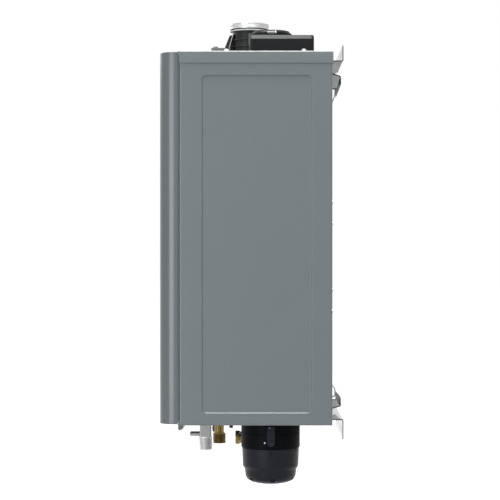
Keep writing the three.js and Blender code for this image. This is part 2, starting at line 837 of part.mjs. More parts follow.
wormClamp('exhaust', exhaustPort, -1, sealOuter + seat, bandLow, bandTop);

// Bright strap that leans on the exhaust collar, with its foot on the collar's flange
const strapThick = 1.2;
const strapWidth = 9;
const strapX = exhaustPort.x + finThick / 2 + strapWidth;
const strapFootY = exhaustPort.y - collarFoot + sheet;
const strapLine = [
  [strapFootY, footTop + seat + strapThick / 2],
  [strapFootY + sheet * 3, footTop + seat + strapThick / 2],
  [exhaustPort.y - finTopRadius, finLow],
  [exhaustPort.y - collarRadius + seat, finHigh + collarRibHeight],
];
addPiece('collar_strap', prism(
  'x', sheetOutline(strapLine, strapThick, strapThick), strapX - strapWidth / 2, strapX + strapWidth / 2,
), 'steel');

// Air intake box: black moulded box with soft upper edges, open to the case below
const intakeBoxLeft = 74;
const intakeBoxRight = 80;
const intakeBoxFront = 42;
const intakeBoxBehind = 81;
const intakeBox = {
  x0: intakePort.x - intakeBoxLeft,
  x1: intakePort.x + intakeBoxRight,
  y0: intakePort.y - intakeBoxFront,
  y1: intakePort.y + intakeBoxBehind,
};
const intakeRise = 39.5;
const intakeTop = caseTop + intakeRise;
const intakeWall = 2.5;
const intakeCorner = 12;
const intakeEdge = 5;
const intakeRing = (inset) => roundedRectangle(
  intakeBox.x0 + inset, intakeBox.x1 - inset,
  intakeBox.y0 + inset, intakeBox.y1 - inset, intakeCorner - inset,
);
const edgeSections = [0, 1, 2].map((k) => {
  const angle = (k * Math.PI) / 4;
  return [intakeRing(intakeEdge * (1 - Math.cos(angle))), intakeTop - intakeEdge * (1 - Math.sin(angle))];
});
const intakeShell = cut(
  loft('z', [[intakeRing(0), capTopSeat], ...edgeSections]),
  prism('z', intakeRing(intakeWall), capTopSeat - overrun, intakeTop - intakeEdge),
  cylinder('z', portBore, intakeTop - 2 * intakeEdge, intakeTop + overrun, intakePort, roundSteps),
);
addPiece('intake_box', intakeShell, 'blackPlastic');

// Intake collar on the box, with its own clamp whose housing faces the right-hand side
const intakeCollarRadius = 38.4;
const intakeFootRadius = 40.5;
const intakeFootThick = 3;
const intakeCollarRise = 15;
const intakeBandRise = 4.5;
const intakeBandWidth = 7.5;
const intakeCollarTop = intakeTop + intakeCollarRise;
const intakeBandLow = intakeTop + intakeBandRise;
const intakeBandTop = intakeBandLow + intakeBandWidth;
addPiece('intake_collar', turned('z', [
  [portBore, intakeTop + seat],
  [intakeFootRadius, intakeTop + seat],
  [intakeFootRadius, intakeTop + seat + intakeFootThick],
  [intakeCollarRadius, intakeTop + seat + intakeFootThick],
  [intakeCollarRadius, intakeCollarTop - sheet],
  [intakeCollarRadius - sheet, intakeCollarTop],
  [portBore, intakeCollarTop],
], intakePort), 'blackPlastic');
wormClamp('intake', intakePort, 1, intakeCollarRadius + seat, intakeBandLow, intakeBandTop);

// Cable entry bracket near the right front corner of the top: a bridge with two feet
const bridgeInset = 48;
const bridgeBehind = 72;
const bridgeX = halfWidth - bridgeInset;
const bridgeHalf = 12;
const bridgeY = caseFront + bridgeBehind;
const bridgeReach = 12;
const bridgeFoot = 9;
const bridgeRise = 8;
const bridgeTop = caseTop + bridgeRise;
const footZ = capTopSeat + sheet / 2;
addPiece('cable_bracket', prism('x', sheetOutline([
  [bridgeY - bridgeReach - bridgeFoot, footZ],
  [bridgeY - bridgeReach, footZ],
  [bridgeY - bridgeReach, bridgeTop - sheet / 2],
  [bridgeY + bridgeReach, bridgeTop - sheet / 2],
  [bridgeY + bridgeReach, footZ],
  [bridgeY + bridgeReach + bridgeFoot, footZ],
], sheet, sheet), bridgeX - bridgeHalf, bridgeX + bridgeHalf), 'zinc');

// Threaded pipe ends under the case share one size: 3/4 inch taper thread, 26.7 outside
const threadRadius = 13.35;
const threadChamfer = 1.2;
const waterBore = 7;
const innerFlange = 15;
const innerFlangeThick = 5;
const innerReach = 16;
const neckTop = plateTop + innerReach;
const flangeLow = plateTop + seat;
const flangeHigh = flangeLow + innerFlangeThick;

// Turned fitting: threaded end, neck through the plate, and a flange that rests on the plate
function fitting(bore, neck, place, threadLow, threadTop) {
  return turned('z', [
    [bore, threadLow],
    [threadRadius - threadChamfer, threadLow],
    [threadRadius, threadLow + threadChamfer],
    [threadRadius, threadTop],
    [neck, threadTop],
    [neck, flangeLow],
    [innerFlange, flangeLow],
    [innerFlange, flangeHigh],
    [neck, flangeHigh],
    [neck, neckTop],
    [bore, neckTop],
  ], place, smallRoundSteps);
}

const hotDrop = 64.1;
const hotNeckDrop = 43.5;
const hotLow = caseBottom - hotDrop;
const hotNeckLow = caseBottom - hotNeckDrop;
addPiece('hot_outlet_fitting', fitting(waterBore, neckRadius, hotPlace, hotLow, hotNeckLow), 'brass');

// Gas inlet: machined block above the threaded end, with a pressure test port facing the front
const gasBore = 8;
const gasBlockHalfX = 14;
const gasBlockHalfY = 11.5;
const gasBlockDrop = 42.5;
const gasDrop = 68.5;
const gasBlockLow = caseBottom - gasBlockDrop;
const gasLow = caseBottom - gasDrop;
const gasCorner = 2;
const testPortRadius = 4.75;
const testPortLength = 20;
const testPortZ = gasBlockLow + testPortRadius + 0.5 * sheet;
addPiece('gas_inlet_fitting', cut(
  join(
    fitting(gasBore, gasNeckRadius, gasPlace, gasLow, gasBlockLow + seat),
    prism('z', roundedRectangle(
      gasPlace.x - gasBlockHalfX, gasPlace.x + gasBlockHalfX,
      gasPlace.y - gasBlockHalfY, gasPlace.y + gasBlockHalfY, gasCorner,
    ), gasBlockLow, plateUnder),
  ),
  cylinder('z', gasBore, gasBlockLow - overrun, caseBottom + overrun, gasPlace),
), 'steel');
const testPortEnd = gasPlace.y - gasBlockHalfY - seat;
addPiece('gas_test_port', turned('y', [
  [0, testPortEnd - testPortLength],
  [testPortRadius * 0.5, testPortEnd - testPortLength],
  [testPortRadius, testPortEnd - testPortLength + testPortRadius * 0.5],
  [testPortRadius, testPortEnd],
  [0, testPortEnd],
], { x: gasPlace.x, z: testPortZ }, smallRoundSteps), 'steel');

// Cold inlet with a strainer boss that faces the front, and the strainer's drain cap
const strainerDrop = 39.7;
const strainerZ = caseBottom - strainerDrop;
const strainerBoss = 11.5;
const strainerBore = 6.2;
const strainerBody = 12;
const strainerReach = 20;
const strainerFace = coldPlace.y - strainerReach;
const strainerCapRadius = 13.1;
const strainerCapLength = 9;
const strainerSlot = 3;
const strainerSlotDepth = 1.6;
const strainerPlace = { x: coldPlace.x, z: strainerZ };
addPiece('cold_inlet_fitting', cut(
  join(
    fitting(waterBore, neckRadius, coldPlace, hotLow - sheet * 2, strainerZ - strainerBody),
    cylinder('y', strainerBoss, strainerFace, coldPlace.y - strainerBody + sheet, strainerPlace),
    prism('z', roundedRectangle(
      coldPlace.x - strainerBody, coldPlace.x + strainerBody,
      coldPlace.y - strainerBody, coldPlace.y + strainerBody, gasCorner,
    ), strainerZ - strainerBody - sheet, strainerZ + strainerBody + sheet),
  ),
  cylinder('z', waterBore, hotLow - overrun, neckTop + overrun, coldPlace),
  cylinder('y', strainerBore, strainerFace - overrun, coldPlace.y - 2 * sheet, strainerPlace),
), 'brass');
const stemEnd = coldPlace.y - waterBore - seat * 4;
addPiece('strainer_cap', cut(
  turned('y', [
    [0, strainerFace - seat - strainerCapLength],
    [strainerCapRadius - sheet / 2, strainerFace - seat - strainerCapLength],
    [strainerCapRadius, strainerFace - seat - strainerCapLength + sheet / 2],
    [strainerCapRadius, strainerFace - seat],
    [strainerBore - seat, strainerFace - seat],
    [strainerBore - seat, stemEnd],
    [0, stemEnd],
  ], strainerPlace),
  block(
    coldPlace.x - strainerCapRadius, coldPlace.x + strainerCapRadius,
    strainerFace - seat - strainerCapLength - overrun,
    strainerFace - seat - strainerCapLength + strainerSlotDepth,
    strainerZ - strainerSlot / 2, strainerZ + strainerSlot / 2,
  ),
), 'brass');

// Condensate spout and blank grommet
const spoutBore = 6.3;
const spoutDrop = 46.5;
const spoutLow = caseBottom - spoutDrop;
const spoutBarb = 1.2;
addPiece('condensate_spout', turned('z', [
  [spoutBore, spoutLow],
  [spoutRadius - spoutBarb, spoutLow],
  [spoutRadius, spoutLow + spoutRadius],
  [spoutRadius - spoutBarb, spoutLow + spoutRadius],
  [spoutRadius - spoutBarb, plateUnder - spoutRadius],
  [spoutRadius, plateUnder - spoutRadius],
  [spoutRadius, flangeLow],
  [innerFlange, flangeLow],
  [innerFlange, flangeHigh],
  [spoutRadius, flangeHigh],
  [spoutRadius, neckTop],
  [spoutBore, neckTop],
], condensatePlace, smallRoundSteps), 'blackPlastic');
const nubDrop = 9;
const nubRim = 2.5;
addPiece('blank_grommet', turned('z', [
  [0, caseBottom - nubDrop],
  [nubRadius * 0.8, caseBottom - nubDrop],
  [nubRadius, plateUnder - nubRim],
  [nubRadius + nubRim, plateUnder - nubRim],
  [nubRadius + nubRim, plateUnder],
  [nubRadius, plateUnder],
  [nubRadius, plateTop + seat],
  [nubRadius + nubRim / 2, plateTop + seat],
  [nubRadius, plateTop + seat + nubRim],
  [0, plateTop + seat + nubRim],
], nubPlace, smallRoundSteps), 'rubber');

// Filter head: fixed cup that comes through the bottom plate, with a port block on top.
// Three ledges inside its mouth hold the lugs of the canister, a bayonet with an eighth of a turn.
const headBore = 51.7;
const skirtDrop = 47.2;
const headRise = 17.5;
const skirtLow = caseBottom - skirtDrop;
const headRoofTop = caseBottom + headRise;
const headRoof = 6;
const headFlange = 63;
const headFlangeThick = 6;
const ledgeRise = 8.7;
const ledgeLow = skirtLow + ledgeRise;
const ledgeThick = 5;
const bowlNeck = 49.4;
const ledgeInner = bowlNeck + seat;
const ledgeHalfAngle = Math.PI / 12;
const lugHalfAngle = Math.PI / 15;
const stopAngle = Math.PI / 60;
const bayonetCount = 3;
const portBlockHalf = { x: 40, y: 34 };
const portBlockHeight = 60;
const portBlockTop = headRoofTop + portBlockHeight;
const portBlockCorner = 14;
const portOffset = 20;
const portDrop = 18;
const portZ = portBlockTop - portDrop;
const portRadius = 9;
const portReach = 12;
const portFaceX = filterPlace.x - portBlockHalf.x - portReach;
const coldPortY = filterPlace.y - portOffset;
const filteredPortY = filterPlace.y + portOffset;

// Latch on the right-hand face of the head: ears on the head, and a lever that hangs on a pin
const latchWidth = 15;
const latchThick = 5;
const latchTopDrop = 2.5;
const latchLength = 39.8;
const latchTop = caseBottom - latchTopDrop;
const latchLow = latchTop - latchLength;
const latchEarThick = 2.5;
const latchEarOut = 8;
const latchEarDrop = 9;
const latchPinDrop = 4;
const latchEarLow = latchTop - latchEarDrop;
const latchPinZ = latchTop - latchPinDrop;
const latchPinRadius = 1.6;
const latchFaceX = filterPlace.x + headRadius + seat * 2;
const latchPinX = latchFaceX + latchThick / 2;
const latchEarY = latchWidth / 2 + seat;

// Shallow recess in the head beside the latch
const recessSize = 23.4;
const recessHeight = 19;
const recessBehind = 8;
const recessRise = 5.7;
const recess = {
  start: Math.asin(recessBehind / headRadius),
  end: Math.asin((recessBehind + recessSize) / headRadius),
  z0: skirtLow + recessRise,
  z1: skirtLow + recessRise + recessHeight,
};
const recessDepth = 1.6;

const bayonetAngles = Array.from({ length: bayonetCount }, (_, i) => (i * 2 * Math.PI) / bayonetCount);
const atFilter = (geometry) => geometry.translate(filterPlace.x, filterPlace.y, 0);
const ledges = bayonetAngles.flatMap((angle) => [
  atFilter(prism('z', ringSector(
    ledgeInner, headBore + sheet, angle - ledgeHalfAngle, angle + ledgeHalfAngle,
  ), ledgeLow, ledgeLow + ledgeThick)),
  atFilter(prism('z', ringSector(
    ledgeInner, headBore + sheet, angle - ledgeHalfAngle, angle - ledgeHalfAngle + stopAngle,
  ), ledgeLow, ledgeLow + 2 * ledgeThick)),
]);
const latchEars = [-1, 1].map((side) => {
  const inner = filterPlace.y + side * latchEarY;
  const outer = inner + side * latchEarThick;
  return block(
    filterPlace.x + headBore + sheet, latchFaceX + latchEarOut,
    Math.min(inner, outer), Math.max(inner, outer), latchEarLow, plateUnder - seat,
  );
});
const latchPinReach = latchEarY + latchEarThick / 2;
addPiece('filter_head', cut(
  join(
    turned('z', [
      [headRadius, skirtLow],
      [headRadius, flangeLow],
      [headFlange, flangeLow],
      [headFlange, flangeLow + headFlangeThick],
      [headRadius, flangeLow + headFlangeThick],
      [headRadius - headRoof, headRoofTop],
      [0, headRoofTop],
      [0, headRoofTop - headRoof],
      [headBore - headRoof / 2, headRoofTop - headRoof],
      [headBore, headRoofTop - 2 * headRoof],
      [headBore, skirtLow],
    ], filterPlace),
    prism('z', roundedRectangle(
      filterPlace.x - portBlockHalf.x, filterPlace.x + portBlockHalf.x,
      filterPlace.y - portBlockHalf.y, filterPlace.y + portBlockHalf.y, portBlockCorner,
    ), headRoofTop - sheet, portBlockTop),
    ...[coldPortY, filteredPortY].map((y) => cylinder(
      'x', portRadius, portFaceX, filterPlace.x, { y, z: portZ },
    )),
    ...ledges,
    ...latchEars,
    cylinder('y', latchPinRadius, filterPlace.y - latchPinReach, filterPlace.y + latchPinReach, {
      x: latchPinX, z: latchPinZ,
    }, smallRoundSteps / 2),
  ),
  atFilter(prism('z', ringSector(
    headRadius - recessDepth, headRadius + overrun, recess.start, recess.end,
  ), recess.z0, recess.z1)),
), 'blackPlastic');

// Latch lever, drawn in the plane across its pin: a flat bar with a round lower end and a thumb lip
const latchLip = 1.8;
const latchBend = 2;
const latchOutline = new THREE.Shape();
latchOutline.moveTo(-latchThick / 2, latchLow + latchBend - latchPinZ);
latchOutline.lineTo(0, latchLow - latchPinZ);
latchOutline.lineTo(latchThick / 2 + latchLip, latchLow - latchPinZ);
latchOutline.lineTo(latchThick / 2 + latchLip, latchLow + 2 * latchBend - latchPinZ);
latchOutline.lineTo(latchThick / 2, latchLow + 4 * latchBend - latchPinZ);
latchOutline.absarc(0, latchTop - latchThick / 2 - latchPinZ, latchThick / 2, 0, Math.PI, false);
const latchBore = new THREE.Path();
latchBore.absarc(0, 0, latchPinRadius + seat, 0, 2 * Math.PI, true);
latchOutline.holes.push(latchBore);
const latchRound = prism('x', [
  ...roundedRectangle(
    filterPlace.y - latchWidth / 2, filterPlace.y + latchWidth / 2,
    latchLow, latchTop + latchWidth, latchWidth / 2,
  ),
], latchFaceX - overrun, latchFaceX + latchThick + overrun).translate(-latchPinX, -filterPlace.y, -latchPinZ);
addPiece('latch_lever', solid(prism('y', latchOutline, -latchWidth / 2, latchWidth / 2))
  .intersect(solid(latchRound)), 'blackPlastic', [latchPinX, filterPlace.y, latchPinZ]);

// Canister: hollow tapered bowl with a neck inside the head, three lugs and grip notches
const bowlTop = skirtLow - 2 * seat;
const bowlInner = 45;
const bowlNeckHeight = 31.3;
const bowlNeckTop = bowlTop + bowlNeckHeight;
const bowlRim = 54.4;
const bowlFloor = 5;
const bowlHeight = 70.4;
const bowlLow = bowlTop - bowlHeight;
const bowlShares = [
  [0.976, 0.497],
  [0.904, 0.592],
  [0.882, 0.768],
  [0.818, 0.862],
  [0.669, 0.932],
  [0.331, 0.984],
];
const bowlProfile = bowlShares.map(([across, down]) => [bowlRim * across, bowlTop - bowlHeight * down]);
const grooveWidth = 3;
const grooveDeep = 1.3;
const ringSection = 1.3;
const ringDrop = 6;
const ringZ = bowlNeckTop - ringDrop;
const lugLow = ledgeLow + ledgeThick + seat;
const lugThick = 4;
const flatShare = Math.cos(Math.PI / roundSteps);
const lugOuter = headBore * flatShare - seat;
const gripCount = 6;
const gripTurn = (5 * Math.PI) / 180;
const gripWidth = 7;
const gripDeep = 5;
const gripLift = 2.7;
const gripHeight = 11;
const gripInset = 10.4;
const gripLow = bowlLow + gripLift;
const gripHigh = gripLow + gripHeight;
const gripRadius = bowlRim - gripInset;
const slotWidth = 3;
const slotDeep = 1.8;
const latchSlotHeight = 11.7;
const wrenchSlotHeight = 6.7;
const latchSlotLow = bowlTop - latchSlotHeight;
const wrenchSlotLow = bowlTop - wrenchSlotHeight;
const wrenchTurns = [62, 242].map((degrees) => (degrees * Math.PI) / 180);

function bowlNotch(angle, radius, depth, width, low, high) {
  return atFilter(block(radius - depth, radius + overrun, -width / 2, width / 2, low, high).rotateZ(angle));
}
const lugs = bayonetAngles.map((angle) => atFilter(prism('z', ringSector(
  bowlNeck - sheet, lugOuter, angle - lugHalfAngle + stopAngle, angle + lugHalfAngle + stopAngle,
), lugLow, lugLow + lugThick)));
addPiece('filter_bowl', cut(
  join(
    turned('z', [
      [0, bowlLow],
      ...bowlProfile.toReversed(),
      [bowlRim, bowlTop],
      [bowlNeck, bowlTop],
      [bowlNeck, ringZ - grooveWidth / 2],
      [bowlNeck - grooveDeep, ringZ - grooveWidth / 2],
      [bowlNeck - grooveDeep, ringZ + grooveWidth / 2],
      [bowlNeck, ringZ + grooveWidth / 2],
      [bowlNeck, bowlNeckTop],
      [bowlInner, bowlNeckTop],
      [bowlInner, bowlProfile[1][1]],
      [bowlInner - bowlFloor, bowlProfile[2][1]],
      [0, bowlProfile[2][1] - bowlFloor],
    ], filterPlace),
    ...lugs,
  ),
  ...Array.from({ length: gripCount }, (_, i) => bowlNotch(
    gripTurn + (i * 2 * Math.PI) / gripCount, gripRadius, gripDeep, gripWidth, gripLow, gripHigh,
  )),
  bowlNotch(0, bowlRim, slotDeep, slotWidth, latchSlotLow, bowlTop + sheet),
  ...wrenchTurns.map((angle) => bowlNotch(
    angle, bowlRim, slotDeep, slotWidth, wrenchSlotLow, bowlTop + sheet,
  )),
), 'blackPlastic');
const ringSides = 4;
const ringMiddle = bowlNeck - grooveDeep + seat + ringSection;
addPiece('bowl_o_ring', turned('z', Array.from({ length: ringSides }, (_, i) => [
  ringMiddle + ringSection * Math.cos((i * 2 * Math.PI) / ringSides),
  ringZ + ringSection * Math.sin((i * 2 * Math.PI) / ringSides),
]), filterPlace, roundSteps), 'rubber');

// Filter cartridge on the floor of the bowl: a ribbed sleeve between two end caps
const cartridgeRadius = 38;
const cartridgeCap = 40;
const cartridgeCapThick = 6;
const cartridgeDrop = 11;
const cartridgeTop = bowlNeckTop - cartridgeDrop;
const cartridgeLow = bowlProfile[2][1] + seat;
const cartridgeBore = 12;
addPiece('media_cartridge', turned('z', [
  [cartridgeBore, cartridgeLow],
  [cartridgeCap - bowlFloor, cartridgeLow],
  [cartridgeCap - bowlFloor, cartridgeLow + cartridgeCapThick],
  [cartridgeRadius - bowlFloor, cartridgeLow + cartridgeCapThick],
  [cartridgeRadius, cartridgeLow + 3 * cartridgeCapThick],
  [cartridgeRadius, cartridgeTop - cartridgeCapThick],
  [cartridgeCap, cartridgeTop - cartridgeCapThick],
  [cartridgeCap, cartridgeTop],
  [cartridgeBore, cartridgeTop],
], filterPlace, smallRoundSteps), 'whitePlastic');

// Heat exchangers hang on feet from the back panel: primary above, condensing secondary below
const stackRoomLeft = 165;
const stackRoomRight = 140;
const stackRoomFront = 83;
const stackRoomBack = 44;
const stackX0 = -halfWidth + stackRoomLeft;
const stackX1 = halfWidth - stackRoomRight;
const stackY0 = caseFront + stackRoomFront;
const stackY1 = caseBack - stackRoomBack;
const stackWidth = stackX1 - stackX0;
const stackDrop = 148.5;
const stackRise = 277.5;
const primaryShare = 0.592;
const secondaryOverhang = 86;
const primaryTop = caseTop - stackDrop;
const secondaryLow = caseBottom + stackRise;
const primaryHeight = (primaryTop - secondaryLow) * primaryShare;
const primaryLow = primaryTop - primaryHeight;
const secondaryTop = primaryLow - seat;
const secondaryX0 = stackX0 - secondaryOverhang;
const jacketWall = 4;
const stackCorner = 8;
const footY = wrapBack - sheet / 2 - seat;
const stackFootHeight = 26;
const stackFootInset = 20;
const stackFootThick = 3;

function stackFeet(x0, x1, z) {
  return [x0 + stackFootInset, x1 - stackFootInset].map((x) => prism('x', [
    [stackY1 - sheet, z], [footY - stackFootThick, z + stackFootInset], [footY, z + stackFootInset],
    [footY, z + stackFootHeight + stackFootInset], [stackY1 - sheet, z + stackFootHeight],
  ].map(([y, h]) => new THREE.Vector2(y, h)), x - stackFootThick, x + stackFootThick));
}

// Primary: jacket open above and below, with thick fins across its lower half, pressed ribs, and
// the return bends of its fin tubes on the front
const tubeRadius = 7;
const tubePitch = 26;
const tubeRowRise = 26;
const tubeRowPitch = 30;
const tubeRows = [primaryLow + tubeRowRise, primaryLow + tubeRowRise + tubeRowPitch];
const tubeReturns = Math.floor(stackWidth / (2 * tubePitch));
const tubeStartShare = 0.7;
const tubeShiftShare = 0.4;
const tubeBendShare = 0.45;
const bendOut = 16;
const bendSides = 6;
const returnBends = tubeRows.flatMap((z, row) => Array.from({ length: tubeReturns }, (_, i) => {
  const x0 = stackX0 + tubePitch * (tubeStartShare + 2 * i + row * tubeShiftShare);
  return pipe([
    [x0, stackY0 + sheet, z], [x0, stackY0 - bendOut, z],
    [x0 + tubePitch, stackY0 - bendOut, z], [x0 + tubePitch, stackY0 + sheet, z],
  ], tubeRadius, tubePitch * tubeBendShare, 6, bendSides);
}));
const hotPortInset = 10;
const hotPortX = stackX0 + hotPortInset;
const finShare = 0.457;
const finHeight = primaryHeight * finShare;
const hotPortAbove = 10;
const hotPortZ = primaryLow + finHeight + hotPortAbove;
const finGaps = 8;
const finGapShare = 0.55;
const jacketInner = stackWidth - 2 * jacketWall;
const finPitch = jacketInner / finGaps;
const jacketHollow = (z0, z1, x0 = stackX0 + jacketWall, x1 = stackX1 - jacketWall) => block(
  x0, x1, stackY0 + jacketWall, stackY1 - jacketWall, z0, z1,
);
const jacketRibPitch = 16;
const jacketRibs = [0, 1, 2].map((i) => {
  const z = primaryTop - stackFootInset - i * jacketRibPitch;
  return block(
    stackX0 + stackCorner, stackX1 - stackCorner, stackY0 - sheet, stackY0 + sheet, z - sheet * 2, z,
  );
});
addPiece('primary_exchanger', cut(
  join(
    prism('z', roundedRectangle(stackX0, stackX1, stackY0, stackY1, stackCorner), primaryLow, primaryTop),
    ...stackFeet(stackX0, stackX1, primaryLow + stackFootInset),
    ...returnBends,
    ...jacketRibs,
    cylinder('y', neckRadius, stackY0 - bendOut, stackY0 + sheet, { x: hotPortX, z: hotPortZ }),
  ),
  jacketHollow(primaryLow + finHeight, primaryTop + overrun),
  ...Array.from({ length: finGaps }, (_, i) => {
    const x = stackX0 + jacketWall + (i + 0.5) * finPitch;
    const half = (finPitch * finGapShare) / 2;
    return jacketHollow(primaryLow - overrun, primaryLow + finHeight + overrun, x - half, x + half);
  }),
), 'copper');

// Secondary: hollow stainless box with plate ribs, open above to the primary and to the flue, with a
// water stub and a drain neck below
const fluePlace = exhaustPort;
const flueBore = 29.8;
const flueWall = 2.5;
const stubInset = 35;
const filteredStub = { x: stackX1 - stubInset, y: filteredPortY };
const stubLength = 22;
const drainLength = 14;
const drainInset = 24;
const stubLow = secondaryLow - stubLength;
const drainNeck = { x: condensatePlace.x, y: stackY0 + drainInset };
const drainLow = secondaryLow - drainLength;
const plateRibCount = Math.floor((secondaryTop - secondaryLow) / stackFootInset);
const plateRibs = Array.from({ length: plateRibCount }, (_, i) => {
  const z = secondaryLow + (i + 1) * stackFootInset;
  return block(
    secondaryX0 + stackCorner, stackX1 - stackCorner, stackY0 - sheet * 2, stackY0 + sheet,
    z - sheet * 2, z,
  );
});
addPiece('secondary_exchanger', cut(
  join(
    prism(
      'z', roundedRectangle(secondaryX0, stackX1, stackY0, stackY1, stackCorner),
      secondaryLow, secondaryTop,
    ),
    ...stackFeet(secondaryX0, stackX1, secondaryLow + stackFootInset),
    ...plateRibs,
    cylinder('z', neckRadius, stubLow, secondaryLow + sheet, filteredStub),
    cylinder('z', neckRadius, drainLow, secondaryLow + sheet, drainNeck),
  ),
  jacketHollow(secondaryLow + jacketWall, secondaryTop - jacketWall, secondaryX0 + jacketWall),
  jacketHollow(
    secondaryTop - 2 * jacketWall, secondaryTop + overrun,
    stackX0 + 2 * jacketWall, stackX1 - 2 * jacketWall,
  ),
  cylinder(
    'z', flueBore, secondaryTop - 2 * jacketWall, secondaryTop + overrun, fluePlace, middleRoundSteps,
  ),
), 'steel');

// Flue duct from the secondary up to the exhaust collar
addPiece('flue_duct', turned('z', [
  [flueBore, secondaryTop + seat],
  [flueBore + 2 * flueWall, secondaryTop + seat],
  [flueBore + 2 * flueWall, secondaryTop + seat + flueWall],
  [flueBore + flueWall, secondaryTop + seat + flueWall],
  [flueBore + flueWall, spigotLow - seat],
  [flueBore, spigotLow - seat],
], fluePlace, middleRoundSteps), 'blackPlastic');

// Burner plate with its ported deck, and the mixing hood above it
const burnerThick = 5.7;
const burnerLow = primaryTop + seat;
const burnerTop = burnerLow + burnerThick;
const deckPorts = 7;
const deckInset = 14;
const deckPortShare = 0.45;
const deckPitch = (stackX1 - stackX0 - 2 * deckInset) / deckPorts;
addPiece('burner', cut(
  prism('z', roundedRectangle(stackX0, stackX1, stackY0, stackY1, stackCorner), burnerLow, burnerTop),
  ...Array.from({ length: deckPorts }, (_, i) => {
    const x = stackX0 + deckInset + (i + 0.5) * deckPitch;
    const half = (deckPitch * deckPortShare) / 2;
    return block(
      x - half, x + half, stackY0 + deckInset, stackY1 - deckInset,
      primaryTop - overrun, burnerTop + overrun,
    );
  }),
), 'steel');
const hoodFlange = 4;
const hoodHeight = 52;
const hoodTop = burnerTop + hoodHeight;
const hoodInset = 16;
const hoodWall = 3;
const hoodSideShare = 0.2;
const hoodLow = burnerTop + seat;
const blowerReach = 70;
const blowerDrop = 9;
const blowerPlace = { x: stackX1 + blowerReach, z: primaryTop - blowerDrop };
const blowerInset = 18;
const blowerDepth = 60;
const blowerFront = stackY0 + blowerInset;
const blowerBack = blowerFront + blowerDepth;
const outletRise = 21;
const outletHeight = 32;
const outletLow = blowerPlace.z + outletRise;
const outletHigh = outletLow + outletHeight;
const outletX = stackX1 + seat;
const hoodRing = (inset) => roundedRectangle(
  stackX0 + inset, stackX1 - inset * hoodSideShare, stackY0 + inset, stackY1 - inset, stackCorner,
);
addPiece('mixing_hood', cut(
  join(
    prism('z', hoodRing(0), hoodLow, hoodLow + hoodFlange),
    loft('z', [[hoodRing(hoodWall), hoodLow], [hoodRing(hoodInset), hoodTop]]),
    block(stackX1 - hoodInset, stackX1, blowerFront, blowerBack, outletLow - hoodWall, outletHigh + hoodWall),
  ),
  loft('z', [
    [hoodRing(2 * hoodWall), hoodLow - overrun],
    [hoodRing(hoodInset + hoodWall), hoodTop - hoodWall],
  ]),
  block(
    stackX1 - 2 * hoodInset, stackX1 + overrun, blowerFront + hoodWall, blowerBack - hoodWall,
    outletLow, outletHigh,
  ),
), 'aluminium');

// Blower: spiral housing with its outlet to the hood, a curved-blade wheel, a motor and a mixing throat
const voluteStart = 43;
const voluteMargin = 12;
const voluteEnd = blowerReach - voluteMargin;
const voluteWall = 3;
const voluteSteps = 18;
const voluteStartTurn = 0.82 * Math.PI;
const voluteSweep = 1.68 * Math.PI;
const wheelRadius = 37;
const wheelHub = 9;
const bladeCount = 12;
const bladeInner = 24;
const bladeThick = 1.6;
const discThick = 2.2;
const shaftRadius = 3;
const inletRadius = 22;
const motorRadius = 31;
const motorLength = 44;

// Spiral wall: its radius grows evenly with the angle, clockwise from the outlet's lower lip
function voluteOutline(grow) {
  const points = [];
  for (let i = 0; i <= voluteSteps; i += 1) {
    const share = i / voluteSteps;
    const angle = voluteStartTurn + voluteSweep * share;
    const radius = voluteStart + (voluteEnd - voluteStart) * share + grow;
    points.push(new THREE.Vector2(
      blowerPlace.x + radius * Math.cos(angle),
      blowerPlace.z + radius * Math.sin(angle),
    ));
  }
  points.push(new THREE.Vector2(outletX, blowerPlace.z + voluteEnd + grow));
  points.push(new THREE.Vector2(outletX, outletLow - hoodWall + (voluteWall - grow)));
  return points;
}
addPiece('blower_housing', cut(
  prism('y', voluteOutline(voluteWall), blowerFront, blowerBack),
  prism('y', voluteOutline(0), blowerFront + voluteWall, blowerBack - voluteWall),
  block(
    outletX - overrun, outletX + overrun, blowerFront + voluteWall, blowerBack - voluteWall,
    outletLow, outletHigh,
  ),
  cylinder('y', inletRadius, blowerFront - overrun, blowerFront + 2 * voluteWall, blowerPlace),
  cylinder('y', shaftRadius + 2 * seat, blowerBack - 2 * voluteWall, blowerBack + overrun, blowerPlace),
), 'aluminium');

const wheelFront = blowerFront + voluteWall + 2 * sheet;
const wheelBack = blowerBack - voluteWall - 2 * sheet;
const bladeShape = new THREE.Shape();
const bladeChord = (wheelRadius + bladeInner) / 2;
const bladeArc = wheelRadius - bladeInner;
const bladeHalfAngle = Math.PI / 3;
const bladeStart = bladeHalfAngle - Math.PI / 2;
bladeShape.absarc(bladeChord, 0, bladeArc / 2 + bladeThick, bladeStart, Math.PI / 2, false);
bladeShape.absarc(bladeChord, 0, bladeArc / 2, Math.PI / 2, bladeStart, true);
const bladeSettings = { depth: wheelBack - wheelFront - discThick, bevelEnabled: false, curveSegments: 2 };
const blades = Array.from({ length: bladeCount }, (_, i) => {
  const blade = new THREE.ExtrudeGeometry(bladeShape, bladeSettings);
  blade.translate(0, 0, -wheelBack + discThick / 2);
  blade.rotateZ((i * 2 * Math.PI) / bladeCount);
  return layAlong(blade, 'y').translate(blowerPlace.x, 0, blowerPlace.z);
});
